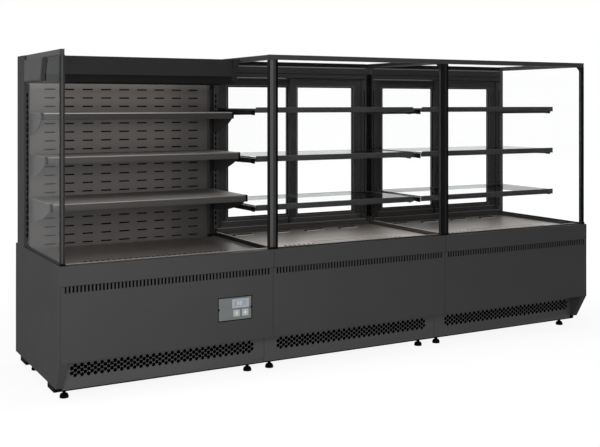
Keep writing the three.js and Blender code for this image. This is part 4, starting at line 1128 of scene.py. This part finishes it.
def post_details(index):
    """The profiles on a post's face: seals, covers and grooves over a black foot block, in coats that carry
    painted shade in the grooves and towards the right.
    """
    y0 = span(f"side_frame_{index}")[2]
    low, width, strips, coats = POSTS[index]
    foot, top = POST_HEIGHTS
    for (name, start, end, proud), coat in zip(strips, coats):
        strip = (low + start, low + end, y0 - proud, y0, foot, top)
        boxes(f"post_{name}_{index}", [strip], coat, slot="frame", bevel=0.4)
    left, right = max(low - BLOCK_MARGIN, POST_EDGE), low + width + BLOCK_MARGIN
    block = (left, right, y0 - BLOCK_PROUD, y0, BLOCK_FOOT, foot)
    boxes(f"post_foot_{index}", [block], CAP_AND_SHADE, slot="frame", bevel=0.8)


JOINT_EDGE = (40, 600, 540, 542)  # depths and heights of the trim's pale edge


def joint_trim(index):
    """A painted highlight along the edge of the trim that covers the joint between two decks."""
    x = index * BAY + JOINT_SHIFT
    boxes(f"joint_trim_edge_{index}", [(x - 6.6, x - 4.2, *JOINT_EDGE)], LIP_HIGHLIGHT, slot="frame")


RISERS = 4
RISER_SHIFT = -26
RISER_PITCH = 195
RISER_LENGTH = 96
RISER_LIP = (548, 550.5)
RISER_MOUTH = (551, 557)
LIP_RISE = 3
MOUTH_RISE = 6
UPTURN_RISE = 13.6
AIR_ROWS = (168, 208)
AIR_HOLE = (7, 27)
AIR_PITCH = 14
AIR_ENDS = (300, 720)  # of the perforated strip, from the bay's left edge
AIR_MARGIN = 18  # from the rows to the strip's edges
AIR_HEIGHTS = (0.5, 0.9)  # of the strip's faces above the deck


def deck_vents(bay):
    """The raised air louvres at the back of a glazed deck, with painted highlights on their lips and painted shade
    in their mouths, its upturned rear edge, and its perforated grille over a black sheet of painted shade.
    """
    first = (bay - 0.5) * BAY - (RISERS - 1) * RISER_PITCH / 2 + RISER_SHIFT
    x0, x1, _, y1, _, top = span(f"deck_tray_{bay}")
    foot = top + 0.05
    lips, mouths = [], []
    for i in range(RISERS):
        left = first + i * RISER_PITCH - RISER_LENGTH / 2
        right = left + RISER_LENGTH
        lips.append((left, right, *RISER_LIP, foot, top + LIP_RISE))
        mouths.append((left - 12, right - 8, *RISER_MOUTH, foot, top + MOUTH_RISE))
    # Painted highlight on the louvres' lips, painted shade in their mouths.
    boxes(f"riser_lips_{bay}", lips, LIP_HIGHLIGHT, slot="liner", bevel=0.4)
    boxes(f"riser_mouths_{bay}", mouths, CAP_AND_SHADE, slot="liner", bevel=0.4)
    upturn = (x0 + 2, x1 - 2, y1 - 1.8, y1 - 0.3, foot, top + UPTURN_RISE)
    boxes(f"deck_upturn_{bay}", [upturn], DOOR_WARM, slot="liner")
    left, right = ((bay - 1) * BAY + end for end in AIR_ENDS)
    front, rear = AIR_ROWS[0] - AIR_MARGIN, AIR_ROWS[1] + AIR_MARGIN
    low, high = (top + height for height in AIR_HEIGHTS)
    count = int((right - left) / AIR_PITCH)
    holes = [
        round_slot(left + (i + 0.5) * AIR_PITCH, y, *AIR_HOLE, 3) for y in AIR_ROWS for i in range(count)
    ]
    outlines = [rectangle(left, right, front, rear), *holes]
    slab(f"deck_grille_{bay}", "z", low, high, outlines, DECK_PAINTED_LIGHT, slot="liner")
    # Painted shade: a black sheet under the grille's holes.
    mat = (left + 1, right - 1, front + 1, rear - 1, foot, top + 0.45)
    boxes(f"deck_grille_shade_{bay}", [mat], SHADE_BLACK, slot="liner")


SCREW_MARGINS = (18, 20)  # from the wall's sides, and from its foot and top
SCREW_STEPS = 3  # along each edge
SCREW_RADIUS = 5
SCREW_HEIGHT = 2
WASHER_RADIUS = 7.5
WASHER_HEIGHT = 0.8


def rear_wall_screws():
    """Screw heads along the edges of the open bay's insulated wall."""
    x0, x1, _, y1, z0, z1 = span("insulated_rear_wall")
    side, end = SCREW_MARGINS
    width, height = x1 - x0 - 2 * side, z1 - z0 - 2 * end
    steps = range(SCREW_STEPS + 1)
    places = [
        (x0 + side + width * i / SCREW_STEPS, z0 + end + height * j / SCREW_STEPS)
        for i in steps for j in steps if i in (0, SCREW_STEPS) or j in (0, SCREW_STEPS)
    ]
    for number, (x, z) in enumerate(places):
        head, washer = polygon(x, z, SCREW_RADIUS, 6), polygon(x, z, WASHER_RADIUS, 20)
        slab(f"wall_screw_{number}", "y", y1, y1 + SCREW_HEIGHT, [head], STEEL, slot="button", bevel=0.6)
        slab(f"wall_washer_{number}", "y", y1, y1 + WASHER_HEIGHT, [washer], CAP_AND_SHADE, slot="button", smooth=40)


TRIM_FOOT = 534.1  # on the fascia's ledge
GLASS_SEAL = (18, 28, TRIM_FOOT, 538.5)  # depths and heights, also in the next two
PANEL_SEAL = (0.8, 6, 170, 456)
FASCIA_SEAM = (0, 0.4, 459, 533)
POST_SHADE = (1779, 1811, 637.2, 638.8, 560, 1300)


def ledge_trim():
    """The deck's front lip on the fascia's ledge, painted bright as a highlight, the seals under the front panes
    and between the panels, a strip of painted shade behind the middle post and the seams of the fascia."""
    # Painted highlight: the deck's front lip, bright for the light caught on its edge.
    boxes("ledge_edge", [(24, LENGTH - 24, 36, 58, TRIM_FOOT, 535.4)], LEDGE_HIGHLIGHT, slot="liner", bevel=0.3)
    glass_seals = [(BAY + 28, 2 * BAY - 12, *GLASS_SEAL), (2 * BAY + 28, LENGTH - 21, *GLASS_SEAL)]
    boxes("front_glass_seal", glass_seals, RUBBER, slot="frame", bevel=0.6)
    joints = (BAY, 2 * BAY)
    boxes("panel_seals", [(x - 0.7, x + 0.7, *PANEL_SEAL) for x in joints], SEAL_AND_SHADE, slot="casing")
    # Painted shade behind the middle post.
    boxes("post_shade_2", [POST_SHADE], SEAL_AND_SHADE, slot="frame")
    boxes("fascia_seams", [(x + 4, x + 5.6, *FASCIA_SEAM) for x in joints], DARK_SEAM_AND_SHADE, slot="casing")


# ---- Assembly ----

AMBIENT = 0.2

add_camera()
add_world(AMBIENT)
add_lamp("key_left", size=(1.4, 1.2), power=62, place_at=(-1.9, -2.8, 1.15), aim=(-1.1, 0, 0.6))
add_lamp("side_left", size=(1.8, 1.6), power=36, place_at=(-4.3, -0.5, 1.3), aim=(-1.35, 0, 0.6))
add_lamp("front_top", size=(1.6, 0.8), power=12, place_at=(-0.9, -1.5, 2.9), aim=(-0.9, 0.1, 0.8))
add_lamp("top_soft", size=(2.8, 1.4), power=60, place_at=(0.6, 0.0, 3.8), aim=(0.5, 0.0, 0.5))
add_floor()
dress_base()
dress_upper_part()
for bay_number in (1, 2, 3):
    hex_grille(bay_number)
controller()
slotted_wall()
shelf_strips()
canopy_light()
canopy_end()
ledge_trim()
rear_wall_screws()
for level_number in (1, 2, 3):
    open_shelf(level_number)
for post_index in range(4):
    post_details(post_index)
for joint_index in (1, 2):
    joint_trim(joint_index)
for bay_number in (2, 3):
    deck_vents(bay_number)
    door_frame_details(bay_number)
    for level_number in (1, 2, 3):
        glass_shelf(bay_number, level_number)
    for leaf_side in ("left", "right"):
        door_details(bay_number, leaf_side)

bpy.context.scene.view_settings.view_transform = "Standard"
